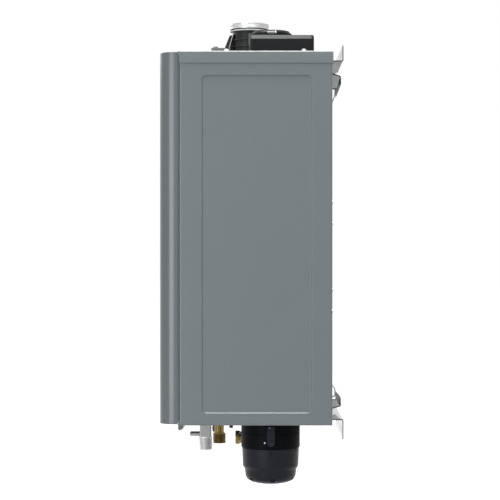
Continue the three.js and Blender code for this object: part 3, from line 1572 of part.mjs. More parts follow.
addPiece('blower_wheel', join(
  turned('y', [
    [0, wheelFront + bladeArc],
    [wheelHub / 2, wheelFront + bladeArc],
    [wheelHub, wheelBack - discThick],
    [wheelRadius + bladeThick, wheelBack - discThick],
    [wheelRadius + bladeThick, wheelBack],
    [shaftRadius, wheelBack],
    [shaftRadius, blowerBack + motorLength / 2],
    [0, blowerBack + motorLength / 2],
  ], blowerPlace, middleRoundSteps),
  turned('y', [
    [bladeInner, wheelFront],
    [wheelRadius + bladeThick, wheelFront],
    [wheelRadius + bladeThick, wheelFront + discThick],
    [bladeInner, wheelFront + discThick],
  ], blowerPlace, middleRoundSteps),
  ...blades,
), 'blackPlastic');
addPiece('blower_motor', cut(
  turned('y', [
    [0, blowerBack + seat],
    [motorRadius, blowerBack + seat],
    [motorRadius, blowerBack + motorLength * 0.7],
    [motorRadius * 0.85, blowerBack + motorLength],
    [0, blowerBack + motorLength],
  ], blowerPlace, middleRoundSteps),
  cylinder(
    'y', shaftRadius + seat, blowerBack - overrun, blowerBack + motorLength / 2 + overrun, blowerPlace,
  ),
), 'blackPlastic');
const throatLength = 38;
const throatFront = blowerFront - seat - throatLength;
const throatMouth = 30;
const gasStubY = throatFront + throatLength / 2;
const gasStubDrop = 59;
const gasStubLow = blowerPlace.z - gasStubDrop;
addPiece('mixing_throat', cut(
  join(
    turned('y', [
      [inletRadius - voluteWall, blowerFront - seat],
      [inletRadius + 2 * voluteWall, blowerFront - seat],
      [inletRadius + 2 * voluteWall, blowerFront - seat - voluteWall],
      [inletRadius, blowerFront - seat - voluteWall],
      [inletRadius, throatFront + throatLength / 4],
      [throatMouth, throatFront],
      [throatMouth - voluteWall, throatFront],
      [inletRadius - voluteWall, throatFront + throatLength / 4],
    ], blowerPlace, middleRoundSteps),
    cylinder('z', neckRadius, gasStubLow, blowerPlace.z - inletRadius + voluteWall / 2, {
      x: blowerPlace.x, y: gasStubY,
    }),
  ),
  cylinder('y', inletRadius - voluteWall, throatFront - overrun, blowerFront + overrun, blowerPlace),
), 'blackPlastic');

// Gas valve under the throat: body with two solenoids, fed from below by the gas pipe
const valveTop = gasStubLow - seat;
const valveHeight = 75.7;
const valveLow = valveTop - valveHeight;
const solenoidShares = [0.3, 0.7];
const valveHalf = 24;
const solenoidRadius = 13;
const solenoidOut = 24;
const valvePlace = { x: blowerPlace.x, y: gasStubY };
addPiece('gas_valve', join(
  prism('z', roundedRectangle(
    valvePlace.x - valveHalf, valvePlace.x + valveHalf,
    valvePlace.y - valveHalf, valvePlace.y + valveHalf, stackCorner,
  ), valveLow, valveTop),
  ...solenoidShares.map((heightShare) => cylinder(
    'x', solenoidRadius, valvePlace.x + valveHalf - sheet, valvePlace.x + valveHalf + solenoidOut, {
      y: valvePlace.y, z: valveLow + (valveTop - valveLow) * heightShare,
    },
  )),
  cylinder('z', innerFlange, valveLow - stackCorner, valveLow + sheet, valvePlace),
), 'aluminium');
const gasPipeRadius = 9;
const gasRunDrop = 170;
const gasRise = valveLow - gasRunDrop;
const pipeBend = 24;
addPiece('gas_pipe', pipe([
  [gasPlace.x, gasPlace.y, neckTop + seat],
  [gasPlace.x, gasPlace.y, gasRise],
  [valvePlace.x, valvePlace.y, gasRise + 2 * pipeBend],
  [valvePlace.x, valvePlace.y, valveLow - stackCorner - seat],
], gasPipeRadius, pipeBend, 14), 'steel');

// Water pipes: cold inlet to the filter head, filtered water to the secondary, hot water out
const waterPipeRadius = 8;
const coldPipeDrop = 16;
const coldPipeRise = portZ - coldPipeDrop;
addPiece('cold_pipe', pipe([
  [coldPlace.x, coldPlace.y, neckTop + seat],
  [coldPlace.x, coldPlace.y, coldPipeRise],
  [coldPlace.x + innerFlange, coldPortY, portZ],
  [portFaceX - seat, coldPortY, portZ],
], waterPipeRadius, sheet * 6, 10), 'copper');
const servoHeight = 107.7;
const servoTop = stubLow - seat;
const servoLow = servoTop - servoHeight;
const servoHalf = 17;
addPiece('filtered_pipe', pipe([
  [portFaceX - seat, filteredPortY, portZ],
  [filteredStub.x, filteredPortY, portZ],
  [filteredStub.x, filteredPortY, servoLow - seat],
], waterPipeRadius, pipeBend / 1.5, 10), 'copper');
addPiece('flow_servo', join(
  prism('z', roundedRectangle(
    filteredStub.x - servoHalf, filteredStub.x + servoHalf,
    filteredStub.y - servoHalf, filteredStub.y + servoHalf, stackCorner,
  ), servoLow + stackCorner, servoTop - stackCorner),
  cylinder('z', innerFlange - sheet, servoLow, servoTop, filteredStub),
  cylinder('y', servoHalf - sheet, filteredStub.y - 3 * servoHalf, filteredStub.y, {
    x: filteredStub.x, z: (servoLow + servoTop) / 2,
  }),
), 'brass');
const hotPipeY = stackY0 - 3 * bendOut;
addPiece('hot_pipe', pipe([
  [hotPlace.x, hotPlace.y, neckTop + seat],
  [hotPlace.x, hotPlace.y, neckTop + 2 * pipeBend],
  [hotPlace.x, hotPipeY, neckTop + 4 * pipeBend],
  [hotPortX, hotPipeY, hotPortZ],
  [hotPortX, stackY0 - bendOut - seat, hotPortZ],
], waterPipeRadius, sheet * 9, 18), 'copper');

// Condensate trap: bottle above the spout, with a slanted inlet neck to the secondary's drain
const trapRadius = 28;
const trapDrop = 56;
const trapHeight = 140;
const trapTop = drainLow - trapDrop;
const trapLow = trapTop - trapHeight;
const trapNeck = 10;
addPiece('condensate_trap', join(
  turned('z', [
    [0, neckTop + seat],
    [trapNeck, neckTop + seat],
    [trapNeck, trapLow - trapNeck],
    [trapRadius - trapNeck, trapLow - trapNeck],
    [trapRadius, trapLow],
    [trapRadius, trapTop - trapNeck],
    [trapRadius - trapNeck / 2, trapTop],
    [0, trapTop],
  ], condensatePlace, smallRoundSteps),
  pipe([
    [condensatePlace.x, condensatePlace.y, trapTop - sheet],
    [condensatePlace.x, condensatePlace.y, trapTop + trapNeck],
    [drainNeck.x, drainNeck.y, drainLow - 2 * trapNeck],
    [drainNeck.x, drainNeck.y, drainLow - seat],
  ], trapNeck, trapNeck, 8),
), 'blackPlastic');

// Igniter on the front of the combustion zone: flange, ceramic and terminal
const igniterDrop = 10;
const igniterPlace = { x: stackX1 - 2 * hoodInset, z: primaryTop - igniterDrop };
const igniterOut = 34;
const igniterCeramic = 5;
addPiece('igniter', turned('y', [
  [0, stackY0 - sheet - seat - igniterOut],
  [igniterCeramic / 2, stackY0 - sheet - seat - igniterOut],
  [igniterCeramic / 2, stackY0 - sheet - seat - igniterOut * 0.7],
  [igniterCeramic, stackY0 - sheet - seat - igniterOut * 0.65],
  [igniterCeramic, stackY0 - sheet - seat - bladeThick * 2],
  [igniterCeramic * 2, stackY0 - sheet - seat - bladeThick * 2],
  [igniterCeramic * 2, stackY0 - sheet - seat],
  [0, stackY0 - sheet - seat],
], igniterPlace, smallRoundSteps), 'whitePlastic');

// Control tray on the left-hand panel, open to the front, with the main board inside
const trayX0 = -halfWidth + sheet + pressDepth + seat;
const trayGap = 7;
const trayHeight = 200;
const trayDepth = 46;
const trayBehind = 17;
const trayRise = 47.5;
const trayX1 = condensatePlace.x - trapRadius - trayGap;
const trayWidth = trayX1 - trayX0;
const trayY0 = caseFront + trayBehind;
const trayY1 = trayY0 + trayDepth;
const trayZ0 = caseBottom + trayRise;
const trayZ1 = trayZ0 + trayHeight;
const trayWall = 2;
const mainBoardThick = 1.6;
const standOff = 5;
const trayInner = (inset) => roundedRectangle(
  trayX0 + inset, trayX1 - inset, trayZ0 + inset, trayZ1 - inset, stackCorner - inset,
);
addPiece('control_tray', cut(
  prism('y', trayInner(0), trayY0, trayY1),
  prism('y', trayInner(trayWall), trayY0 - overrun, trayY1 - trayWall),
), 'blackPlastic');
const boardBackY = trayY1 - trayWall - seat;
const boardY = boardBackY - standOff;
const boardPartShares = [
  { x: 0.3, z: 0.2, w: 0.27, h: 0.13, d: 0.35 },
  { x: 0.7, z: 0.22, w: 0.2, h: 0.1, d: 0.43 },
  { x: 0.35, z: 0.55, w: 0.32, h: 0.09, d: 0.22 },
  { x: 0.72, z: 0.6, w: 0.15, h: 0.15, d: 0.2 },
  { x: 0.5, z: 0.85, w: 0.54, h: 0.05, d: 0.26 },
];
const standOffShares = { across: [0.15, 0.85], up: [0.1, 0.9] };
addPiece('main_board', join(
  prism('y', trayInner(trayWall + seat), boardY - mainBoardThick, boardY),
  ...standOffShares.across.flatMap((xShare) => standOffShares.up.map((zShare) => block(
    trayX0 + trayWidth * xShare - standOff / 2, trayX0 + trayWidth * xShare + standOff / 2,
    boardY - mainBoardThick / 2, boardBackY,
    trayZ0 + trayHeight * zShare - standOff / 2, trayZ0 + trayHeight * zShare + standOff / 2,
  ))),
  ...boardPartShares.map(({ x, z, w, h, d }) => block(
    trayX0 + trayWidth * (x - w / 2), trayX0 + trayWidth * (x + w / 2),
    boardY - mainBoardThick - trayDepth * d, boardY - mainBoardThick / 2,
    trayZ0 + trayHeight * (z - h / 2), trayZ0 + trayHeight * (z + h / 2),
  )),
), 'board');

export default heater;
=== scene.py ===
"""Wall-hung tankless water heater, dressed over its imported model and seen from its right-hand side.

Shapes are worked out in millimetres and become metres when a mesh is made. The camera, the lamps,
the floor and the finishes are in metres. The frame is the model's own: +Z up, the wall at Y = 0 and
the front cover towards -Y.
"""

import bmesh
import bpy
import numpy as np
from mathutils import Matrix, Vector


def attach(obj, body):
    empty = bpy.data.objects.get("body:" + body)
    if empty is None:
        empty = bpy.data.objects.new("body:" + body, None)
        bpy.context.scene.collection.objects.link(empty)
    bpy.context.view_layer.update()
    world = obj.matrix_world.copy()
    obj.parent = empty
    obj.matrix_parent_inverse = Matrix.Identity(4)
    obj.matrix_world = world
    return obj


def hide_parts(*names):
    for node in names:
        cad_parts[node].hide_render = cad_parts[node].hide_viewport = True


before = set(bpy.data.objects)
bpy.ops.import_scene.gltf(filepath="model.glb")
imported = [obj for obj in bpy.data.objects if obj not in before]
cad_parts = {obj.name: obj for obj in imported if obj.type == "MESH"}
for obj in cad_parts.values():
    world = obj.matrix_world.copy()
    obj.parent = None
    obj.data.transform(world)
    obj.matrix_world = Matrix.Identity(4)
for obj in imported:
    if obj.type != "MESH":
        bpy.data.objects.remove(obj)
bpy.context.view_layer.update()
scene = bpy.context.scene
scene.view_settings.view_transform = "Standard"

# Camera, square on to the right-hand side of the heater. One pixel at the near side of the case is
# 1.87 mm, and the axis of the lens meets the side a little right of and below the picture's middle.
side_plane = 0.235
camera_reach = 3.3
picture_pixels = 500
pixel_size = 0.00187
axis_pixel = (252.0, 253.8)
axis_place = (-0.1765, -0.3864)
sensor = 36.0
camera = bpy.data.objects.new("camera", bpy.data.cameras.new("camera"))
camera.data.sensor_width = sensor
camera.data.lens = sensor * camera_reach / (picture_pixels * pixel_size)
camera.data.shift_x = 0.5 - axis_pixel[0] / picture_pixels
camera.data.shift_y = axis_pixel[1] / picture_pixels - 0.5
camera.data.clip_end = 100
camera.location = (side_plane + camera_reach, *axis_place)
camera.rotation_euler = (np.pi / 2, 0, np.pi / 2)
scene.collection.objects.link(camera)
scene.camera = camera

# Soft boxes: a broad one above and behind the side, one towards the front that draws the bright line
# down the cover's round corner, one straight above, and one for the front and the far side.
middle = (0, -0.17, -0.37)
corner = (0.2, -0.33, -0.386)


def lamp(name, place, aim, width, height, power):
    """A soft box: a flat rectangular lamp at a place, its face turned to the point it is aimed at."""
    box = bpy.data.objects.new(name, bpy.data.lights.new(name, "AREA"))
    box.data.shape = "RECTANGLE"
    box.data.size = width
    box.data.size_y = height
    box.data.energy = power
    box.location = place
    box.rotation_euler = (Vector(aim) - Vector(place)).to_track_quat("-Z", "Y").to_euler()
    scene.collection.objects.link(box)


lamp("side_box", (3.2, 1.0, 2.4), middle, width=2.6, height=2.0, power=93)
lamp("corner_box", (2.6, -1.77, -0.386), corner, width=1.5, height=1.6, power=42)
lamp("top_box", (0.25, -0.4, 2.6), middle, width=2.2, height=1.6, power=165)
lamp("far_box", (-2.2, -2.6, 1.2), middle, width=1.8, height=1.8, power=26)

# World: a plain pale room for light, and plain white where the camera or a gloss looks at it, as
# in a photographer's white tent
room_level = 0.08
plain_white = (1, 1, 1, 1)


def add_node(tree, kind, values=None, **settings):
    """Adds a node of one kind to a tree and gives it its settings. Each input named in values takes a
    plain value, or a link where the value is the output of another node."""
    node = tree.nodes.new(kind)
    for setting, value in settings.items():
        setattr(node, setting, value)
    for socket, value in (values or {}).items():
        if isinstance(value, bpy.types.NodeSocket):
            tree.links.new(value, node.inputs[socket])
        else:
            node.inputs[socket].default_value = value
    return node


def white_rays(tree):
    """1 for camera, glossy and transmission rays, which see the white background, and 0 for the rest."""
    path = add_node(tree, "ShaderNodeLightPath").outputs
    first = {0: path["Is Camera Ray"], 1: path["Is Glossy Ray"]}
    either = add_node(tree, "ShaderNodeMath", first, operation="MAXIMUM").outputs[0]
    second = {0: either, 1: path["Is Transmission Ray"]}
    return add_node(tree, "ShaderNodeMath", second, operation="MAXIMUM").outputs[0]


world = bpy.data.worlds.new("studio")
world.use_nodes = True
room_tree = world.node_tree
room_tree.nodes.clear()
room = add_node(room_tree, "ShaderNodeBackground", {"Color": plain_white, "Strength": room_level})
white = add_node(room_tree, "ShaderNodeBackground", {"Color": plain_white, "Strength": 1.0})
choice = add_node(
    room_tree, "ShaderNodeMixShader",
    {0: white_rays(room_tree), 1: room.outputs[0], 2: white.outputs[0]},
)
add_node(room_tree, "ShaderNodeOutputWorld", {"Surface": choice.outputs[0]})
scene.world = world

# Floor: a wide pale sheet below the hanging heater, a little less white near it, where its shadow
# falls, and plain white further off
floor_level = -1.05
floor_half = 30.0
shade_near, shade_far = 1.0, 3.0
shade_level = 0.9
floor_tone = (0.4, 0.4, 0.4, 1)
floor_mesh = bpy.data.meshes.new("floor")
floor_corners = [
    (x * floor_half, y * floor_half, floor_level) for x, y in ((-1, -1), (1, -1), (1, 1), (-1, 1))
]
floor_mesh.from_pydata(floor_corners, [], [(0, 1, 2, 3)])
floor = bpy.data.objects.new("floor", floor_mesh)
scene.collection.objects.link(floor)
floor_paint = bpy.data.materials.new("floor_sheet")
floor_paint.use_nodes = True
floor_tree = floor_paint.node_tree
floor_tree.nodes.clear()
matt = add_node(floor_tree, "ShaderNodeBsdfDiffuse", {"Color": floor_tone})
floor_place = add_node(floor_tree, "ShaderNodeTexCoord").outputs["Object"]
floor_reach = add_node(floor_tree, "ShaderNodeVectorMath", {0: floor_place}, operation="LENGTH")
floor_fade = add_node(floor_tree, "ShaderNodeMapRange", {
    "Value": floor_reach.outputs["Value"], "From Min": shade_near, "From Max": shade_far,
    "To Min": shade_level, "To Max": 1.0,
})
glow = add_node(floor_tree, "ShaderNodeEmission", {"Strength": floor_fade.outputs["Result"]})
unlit = add_node(floor_tree, "ShaderNodeEmission", {"Strength": 0.0})
shown = add_node(
    floor_tree, "ShaderNodeMixShader",
    {0: white_rays(floor_tree), 1: unlit.outputs[0], 2: glow.outputs[0]},
)
total = add_node(floor_tree, "ShaderNodeAddShader", {0: matt.outputs[0], 1: shown.outputs[0]})
add_node(floor_tree, "ShaderNodeOutputMaterial", {"Surface": total.outputs[0]})
floor_mesh.materials.append(floor_paint)

# Case wrap: one sheet of 1.5 mm steel folded round the sides and the back, with a shallow panel
# pressed into each side to stiffen it, and finished in grey powder coat.
half_width = 235.0
case_back = -26.0
case_front = -313.0
case_top = -7.5
wrap_top = -11.5
wrap_low = -705.7
sheet = 1.5
fold_radius = 3.25
fold_steps = 7
front_flange = 22.0
back_stop = 94.0
panel_front, panel_back = -271.0, -64.0
panel_low, panel_high = -685.5, -51.5
panel_corner = 9.0
panel_depth = 2.6
panel_slope = 2.8
press_reach, press_steps = 10, 22
millimetre = 0.001
weld_reach = 2e-6
face_weight = 90
mesh_crease = 38
noise_low, noise_high = 0.3, 0.7
worn_from, worn_full = 0.53, 0.62


def grid_faces(rows, columns, closed_rows=False, closed_columns=False):
    """Quads of a grid of points, row by row, joined end to end where rows or columns are closed."""
    i = np.arange(rows if closed_rows else rows - 1)[:, None]
    j = np.arange(columns if closed_columns else columns - 1)[None, :]
    up, across = (i + 1) % rows, (j + 1) % columns
    corners = (i * columns + j, i * columns + across, up * columns + across, up * columns + j)
    return np.stack(corners, -1).reshape(-1, 4).tolist()


def walled(outer, inner):
    """A sheet with a wall: two grids of the same size, one for each face, and strips round the rim."""
    rows, columns = outer.shape[:2]
    faces = grid_faces(rows, columns)
    count = rows * columns
    near = np.arange(count).reshape(rows, columns)
    strips = []
    for rim in (near[0], near[-1], near[:, 0], near[:, -1]):
        here, ahead = rim[:-1], rim[1:]
        strips += np.stack((here, ahead, ahead + count, here + count), -1).tolist()
    faces += [[k + count for k in face] for face in faces] + strips
    return np.concatenate((outer.reshape(-1, 3), inner.reshape(-1, 3))), faces


def gathered(parts):
    """Several meshes as one: their points one after another, and their faces counted on."""
    faces, start = [], 0
    for points, own in parts:
        faces += [[k + start for k in face] for face in own]
        start += len(points)
    return np.concatenate([np.asarray(points, float).reshape(-1, 3) for points, _ in parts]), faces


def ease(made, edge, edge_steps, crease):
    """Rounds the edges sharper than the crease by a small radius, and leans each normal towards the
    largest face beside it, so that flat faces stay flat."""
    if edge:
        eased = made.modifiers.new("eased_edges", "BEVEL")
        eased.width = edge * millimetre
        eased.segments = edge_steps
        eased.limit_method = "ANGLE"
        eased.angle_limit = np.radians(crease)
    flat = made.modifiers.new("flat_normals", "WEIGHTED_NORMAL")
    flat.keep_sharp = True
    flat.weight = face_weight


def piece(
    name, parts, body, material, nodes=(), edge=0.0, edge_steps=2, crease=mesh_crease,
):
    """Makes one object from meshes in millimetres: seams merged, faces turned out, edges eased."""
    points, faces = gathered(parts)
    mesh = bpy.data.meshes.new(name)
    mesh.from_pydata((points * millimetre).tolist(), [], faces)
    work = bmesh.new()
    work.from_mesh(mesh)
    bmesh.ops.remove_doubles(work, verts=work.verts, dist=weld_reach)
    bmesh.ops.recalc_face_normals(work, faces=work.faces)
    work.to_mesh(mesh)
    work.free()
    mesh.shade_smooth()
    mesh.set_sharp_from_angle(angle=np.radians(crease))
    mesh.materials.append(material)
    made = bpy.data.objects.new(name, mesh)
    scene.collection.objects.link(made)
    ease(made, edge, edge_steps, crease)
    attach(made, body)
    if nodes:
        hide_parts(*nodes)


def finish(
    name, low, high, patch, grain, relief, roughness, metallic=0.0, stretch=(1, 1, 1),
    edge=None, specular=0.5, cells=False,
):
    """A material whose colour drifts between two tones over patches, with a fine grain in its height
    and roughness, stretched along the way it was rolled or drawn, and worn lighter along edges. The
    sizes of the patches and the grain and the height of its relief are in metres."""
    material = bpy.data.materials.new(name)
    material.use_nodes = True
    tree = material.node_tree
    here = add_node(tree, "ShaderNodeTexCoord").outputs["Object"]
    here = add_node(tree, "ShaderNodeMapping", {"Vector": here, "Scale": stretch}).outputs["Vector"]
    drift_kind = "ShaderNodeTexVoronoi" if cells else "ShaderNodeTexNoise"
    drift = add_node(tree, drift_kind, {"Vector": here, "Scale": 1 / patch})
    grains = {"Vector": here, "Scale": 1 / grain, "Detail": 4}
    fine = add_node(tree, "ShaderNodeTexNoise", grains).outputs["Fac"]
    tones = {"Factor": drift.outputs["Color" if cells else "Fac"], "A": (*low, 1), "B": (*high, 1)}
    colour = add_node(tree, "ShaderNodeMix", tones, data_type="RGBA").outputs["Result"]
    if edge:
        bend = add_node(tree, "ShaderNodeNewGeometry").outputs["Pointiness"]
        limits = {"Value": bend, "From Min": worn_from, "From Max": worn_full}
        worn = add_node(tree, "ShaderNodeMapRange", limits).outputs["Result"]
        rubbed = add_node(tree, "ShaderNodeMath", {0: worn, 1: fine}, operation="MULTIPLY").outputs[0]
        tones = {"Factor": rubbed, "A": colour, "B": (*edge, 1)}
        colour = add_node(tree, "ShaderNodeMix", tones, data_type="RGBA").outputs["Result"]
    sheen = add_node(tree, "ShaderNodeMapRange", {
        "Value": fine, "From Min": noise_low, "From Max": noise_high,
        "To Min": roughness[0], "To Max": roughness[1],
    })
    bump = add_node(tree, "ShaderNodeBump", {"Height": fine, "Distance": relief, "Strength": 1.0})
    shader = tree.nodes["Principled BSDF"].inputs
    shader["Metallic"].default_value = metallic
    shader["Specular IOR Level"].default_value = specular
    for socket, value in (
        ("Base Color", colour), ("Roughness", sheen.outputs["Result"]), ("Normal", bump.outputs["Normal"]),
    ):
        tree.links.new(value, shader[socket])
    return material


powder_coat = finish(
    "powder_coat", (0.13, 0.152, 0.159), (0.139, 0.162, 0.169), 0.16, 0.0011, 0.00002,
    (0.26, 0.34), specular=0.45,
)


def arc(centre, radius, start, end, steps):
    """Points of a circle between two angles in degrees, both ends included."""
    turn = np.radians(np.linspace(start, end, steps))
    return np.stack((centre[0] + radius * np.cos(turn), centre[1] + radius * np.sin(turn)), -1)


def press_depth(y, z):
    """Depth of the pressed panel: 0 outside a rectangle with round corners, and inside it a smooth
    step 3t^2 - 2t^3 of the distance from that outline."""
    half_y, half_z = (panel_back - panel_front) / 2, (panel_high - panel_low) / 2
    from_y = np.abs(y - (panel_back + panel_front) / 2) - half_y + panel_corner
    from_z = np.abs(z - (panel_high + panel_low) / 2) - half_z + panel_corner
    outside = np.hypot(np.maximum(from_y, 0), np.maximum(from_z, 0))
    distance = outside + np.minimum(np.maximum(from_y, from_z), 0) - panel_corner
    t = np.clip(-distance / panel_slope, 0, 1)
    return panel_depth * (3 * t**2 - 2 * t**3)


def close_to(low, high, coarse):
    """Places along a line: evenly spread, and crowded where a pressed edge begins at either end."""
    places = [np.linspace(low[0], high[0], coarse)]
    for edge, inward in ((low[1], 1), (high[1], -1)):
        places.append(edge + inward * np.linspace(-1, press_reach, press_steps))
    return np.unique(np.round(np.concatenate(places), 3))


side_line = close_to(
    (case_front + fold_radius, panel_front), (case_back - fold_radius, panel_back), 40,
)
fold_x = half_width - fold_radius
right_half = np.concatenate((
    [[half_width - front_flange, case_front]],
    arc((fold_x, case_front + fold_radius), fold_radius, -90, 0, fold_steps),
    np.stack((np.full(len(side_line), half_width), side_line), -1)[1:-1],
    arc((fold_x, case_back - fold_radius), fold_radius, 0, 90, fold_steps),
    [[back_stop, case_back]],
))
wrap_line = np.concatenate((right_half, (right_half * (-1, 1))[::-1]))
along = np.gradient(wrap_line, axis=0)
outward = np.stack((along[:, 1], -along[:, 0]), -1)
outward /= np.linalg.norm(outward, axis=1)[:, None]
on_side = np.abs(np.abs(wrap_line[:, 0]) - half_width) < 0.01
outward[on_side] = np.stack((np.sign(wrap_line[on_side, 0]), np.zeros(on_side.sum())), -1)
level = close_to((wrap_low, panel_low), (wrap_top, panel_high), 70)[:, None]
sunk = np.where(on_side, press_depth(wrap_line[None, :, 1], level), 0)[..., None]
plan = wrap_line[None] - outward[None] * sunk
inside = plan - outward[None] * sheet
heights = np.broadcast_to(level[..., None], (*plan.shape[:2], 1))
piece(
    "case_sheet",
    [walled(np.concatenate((plan, heights), -1), np.concatenate((inside, heights), -1))],
    "casing", powder_coat, ["case_wrap"],
)

# Top cap, bottom plate and front cover: pressed from the same steel sheet as the wrap, folded at the
# edges and powder coated. The cover hooks over the cap's ledge and is held by two catches below.
solid_crease = 34
flat_angle = 0.6


def crease_tree(crease):
    """Node tree that shades a mesh smooth and marks as sharp each edge whose faces meet at more than
    the crease angle."""
    tree = bpy.data.node_groups.new("creases", "GeometryNodeTree")
    for way in ("INPUT", "OUTPUT"):
        tree.interface.new_socket("Geometry", in_out=way, socket_type="NodeSocketGeometry")
    start = add_node(tree, "NodeGroupInput").outputs[0]
    smooth = add_node(tree, "GeometryNodeSetShadeSmooth", {"Geometry": start}).outputs[0]
    angle = add_node(tree, "GeometryNodeInputMeshEdgeAngle").outputs["Unsigned Angle"]
    limit = {0: angle, 1: np.radians(crease)}
    over = add_node(tree, "FunctionNodeCompare", limit, operation="GREATER_THAN").outputs[0]
    chosen = {"Geometry": smooth, "Selection": over, "Shade Smooth": False}
    sharp = add_node(tree, "GeometryNodeSetShadeSmooth", chosen, domain="EDGE").outputs[0]
    add_node(tree, "NodeGroupOutput", {0: sharp})
    return tree


creases = crease_tree(solid_crease)


def dress(node, material, edge=0.5, edge_steps=2):
    """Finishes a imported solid: its triangles are welded and flat ones joined, round parts are shaded
    smooth, and the edges sharper than the crease are eased by a small radius."""
    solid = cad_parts[node]
    solid.material_slots[0].material = material
    weld = solid.modifiers.new("weld", "WELD")
    weld.merge_threshold = weld_reach
    flat = solid.modifiers.new("flat_faces", "DECIMATE")
    flat.decimate_type = "DISSOLVE"
    flat.angle_limit = np.radians(flat_angle)
    shade = solid.modifiers.new("creases", "NODES")
    shade.node_group = creases
    ease(solid, edge, edge_steps, solid_crease)


# Cover coat: the case's grey powder coat made darker as painted shade for the cover's round corner, and
# glossier than the case sheet
cover_coat_shaded = finish(
    "cover_coat_shaded", (0.104, 0.123, 0.13), (0.112, 0.132, 0.139), 0.16, 0.0011, 0.000006,
    (0.19, 0.23), specular=0.4,
)
dress("top_cap", powder_coat, 0.5)
dress("bottom_plate", powder_coat, 0.5)
dress("front_cover", cover_coat_shaded, 0.7, 3)

# Hem of the cover: the rear edge of its steel sides, folded in a hair below the face. It closes the
# seam and clears the cap when the cover swings.
hem_inner, hem_outer = 233.0, 234.3
hem_low, hem_pivot, hem_high = -703.0, -11.2, -8.4
hem_front, hem_rear, tip_rear = -316.5, -313.5, -315.6


def laid(points, axis):
    """Points made with their third coordinate as height, turned so that the height runs along the
    named axis: (a, b, h) is kept along Z, becomes (a, h, b) along Y and (h, a, b) along X."""
    order = {"z": (0, 1, 2), "y": (0, 2, 1), "x": (2, 0, 1)}[axis]
    return points[..., order]


def softened(corners, radius, steps=4, closed=True):
    """Rounds each corner P of a line. From S to E, which lie one radius before and behind it or half
    way to its neighbour, the line follows (1 - t)^2 S + 2 t (1 - t) P + t^2 E."""
    points = np.asarray(corners, float)
    reach = np.broadcast_to(np.asarray(radius, float), len(points)).copy()
    if not closed:
        reach[[0, -1]] = 0
    ends = []
    for shift in (1, -1):
        way = np.roll(points, shift, 0) - points
        length = np.linalg.norm(way, axis=1)
        ends.append(points + way * (np.minimum(reach, length / 2) / np.maximum(length, 1e-9))[:, None])
    t = np.linspace(0, 1, steps + 1)[None, :, None]
    curve = (1 - t) ** 2 * ends[0][:, None] + 2 * t * (1 - t) * points[:, None] + t**2 * ends[1][:, None]
    return curve.reshape(-1, points.shape[1])


def stacked(rings, axis="z", joined=False):
    """A body drawn through rings of points, each at a height of its own along an axis: joined from the
    last ring back to the first, or else closed by a face at both ends."""
    grid = np.stack([np.column_stack((ring, np.full(len(ring), level))) for ring, level in rings])
    rows, count = grid.shape[:2]
    faces = grid_faces(rows, count, joined, True)
    if not joined:
        faces += [list(range(count)), list(range((rows - 1) * count, rows * count))]
    return laid(grid, axis).reshape(-1, 3), faces


def plate(outline, low, high, axis):
    """A flat plate: an outline laid across an axis, with its two faces and the band between them."""
    return stacked([(outline, low), (outline, high)], axis)


hems = []
for side in (-1, 1):
    near, far = sorted((side * hem_inner, side * hem_outer))
    for rear, low, high in ((hem_rear, hem_low, hem_pivot), (tip_rear, hem_pivot, hem_high)):
        outline = [(near, hem_front), (far, hem_front), (far, rear), (near, rear)]
        hems.append(plate(softened(outline, 0.3), low, high, "z"))
piece("cover_hem", hems, "front_cover", cover_coat_shaded, edge=0.2)

# Foam frame: a strip of soft black cell rubber stuck round the open front of the case. The cover is
# pressed on it, and its edge is the dark seam between the two.
foam = finish(
    "foam_rubber", (0.012, 0.012, 0.013), (0.02, 0.02, 0.021), 0.004, 0.0009, 0.00012,
    (0.8, 0.95), specular=0.2,
)
dress("cover_gasket", foam, 0.6)

# Cover catches: stamped stainless levers under the foot of the cover, each on a pin between two ears
# of the bottom plate. They are turned aside to let the cover swing out.
clamp_steel = finish(
    "clamp_steel", (0.45, 0.46, 0.47), (0.57, 0.58, 0.59), 0.012, 0.0004, 0.00001,
    (0.22, 0.36), metallic=1.0, stretch=(1, 1, 6), edge=(0.6, 0.61, 0.62),
)
for catch in ("cover_catch_left", "cover_catch_right"):
    dress(catch, clamp_steel, 0.5, 3)

# Wall brackets: galvanised strip, cut, pierced and folded, with the mottled spangle of the zinc bath.
# They are screwed to the wall and carry the heater by its two hooks.
spangled_zinc = finish(
    "spangled_zinc", (0.25, 0.265, 0.27), (0.34, 0.355, 0.36), 0.006, 0.0006, 0.00001,
    (0.1, 0.2), metallic=0.45, cells=True,
)
for strip in ("upper_wall_bracket", "lower_wall_bracket"):
    dress(strip, spangled_zinc, 0.5)

# Hanging hooks: galvanised plates on the back of the case, whose edge is turned out, up or down and in
# again at both ends to grip the rail of the bracket. Webs of the same sheet close the right-hand tab.
hook_half, hook_tab, hook_sheet = 128.0, 30.0, 2.0
hook_plate, hook_slant, hook_lip = 56.0, 5.0, 21.0
hook_foot = 12.0
hook_case_y, hook_out_y, hook_tip_y = -24.8, -5.6, -14.2
plate_fold, tab_fold = 1.0, 3.0
cut_half, web_gap = 0.2, 0.05


def folded(line, thick, fold):
    """Outline of a bent sheet: its middle line with round folds, moved by half the thickness to both
    sides along its normal."""
    middle = softened(line, fold, closed=False)
    apart = np.linalg.norm(np.diff(middle, axis=0), axis=1) > 1e-6
    middle = middle[np.concatenate(([True], apart))]
    way = np.gradient(middle, axis=0)
    aside = np.stack((-way[:, 1], way[:, 0]), -1) / np.linalg.norm(way, axis=1)[:, None] * thick / 2
    return np.concatenate((middle + aside, (middle - aside)[::-1]))


# Strips of painted shade: near black paint along the edge of each hook's sheet, standing in for the shade
# at that edge
edge_shade_paint = finish(
    "painted_edge_shade", (0.02, 0.022, 0.022), (0.035, 0.038, 0.038), 0.004, 0.0004, 0.00001, (0.4, 0.5),
    specular=0.2,
)


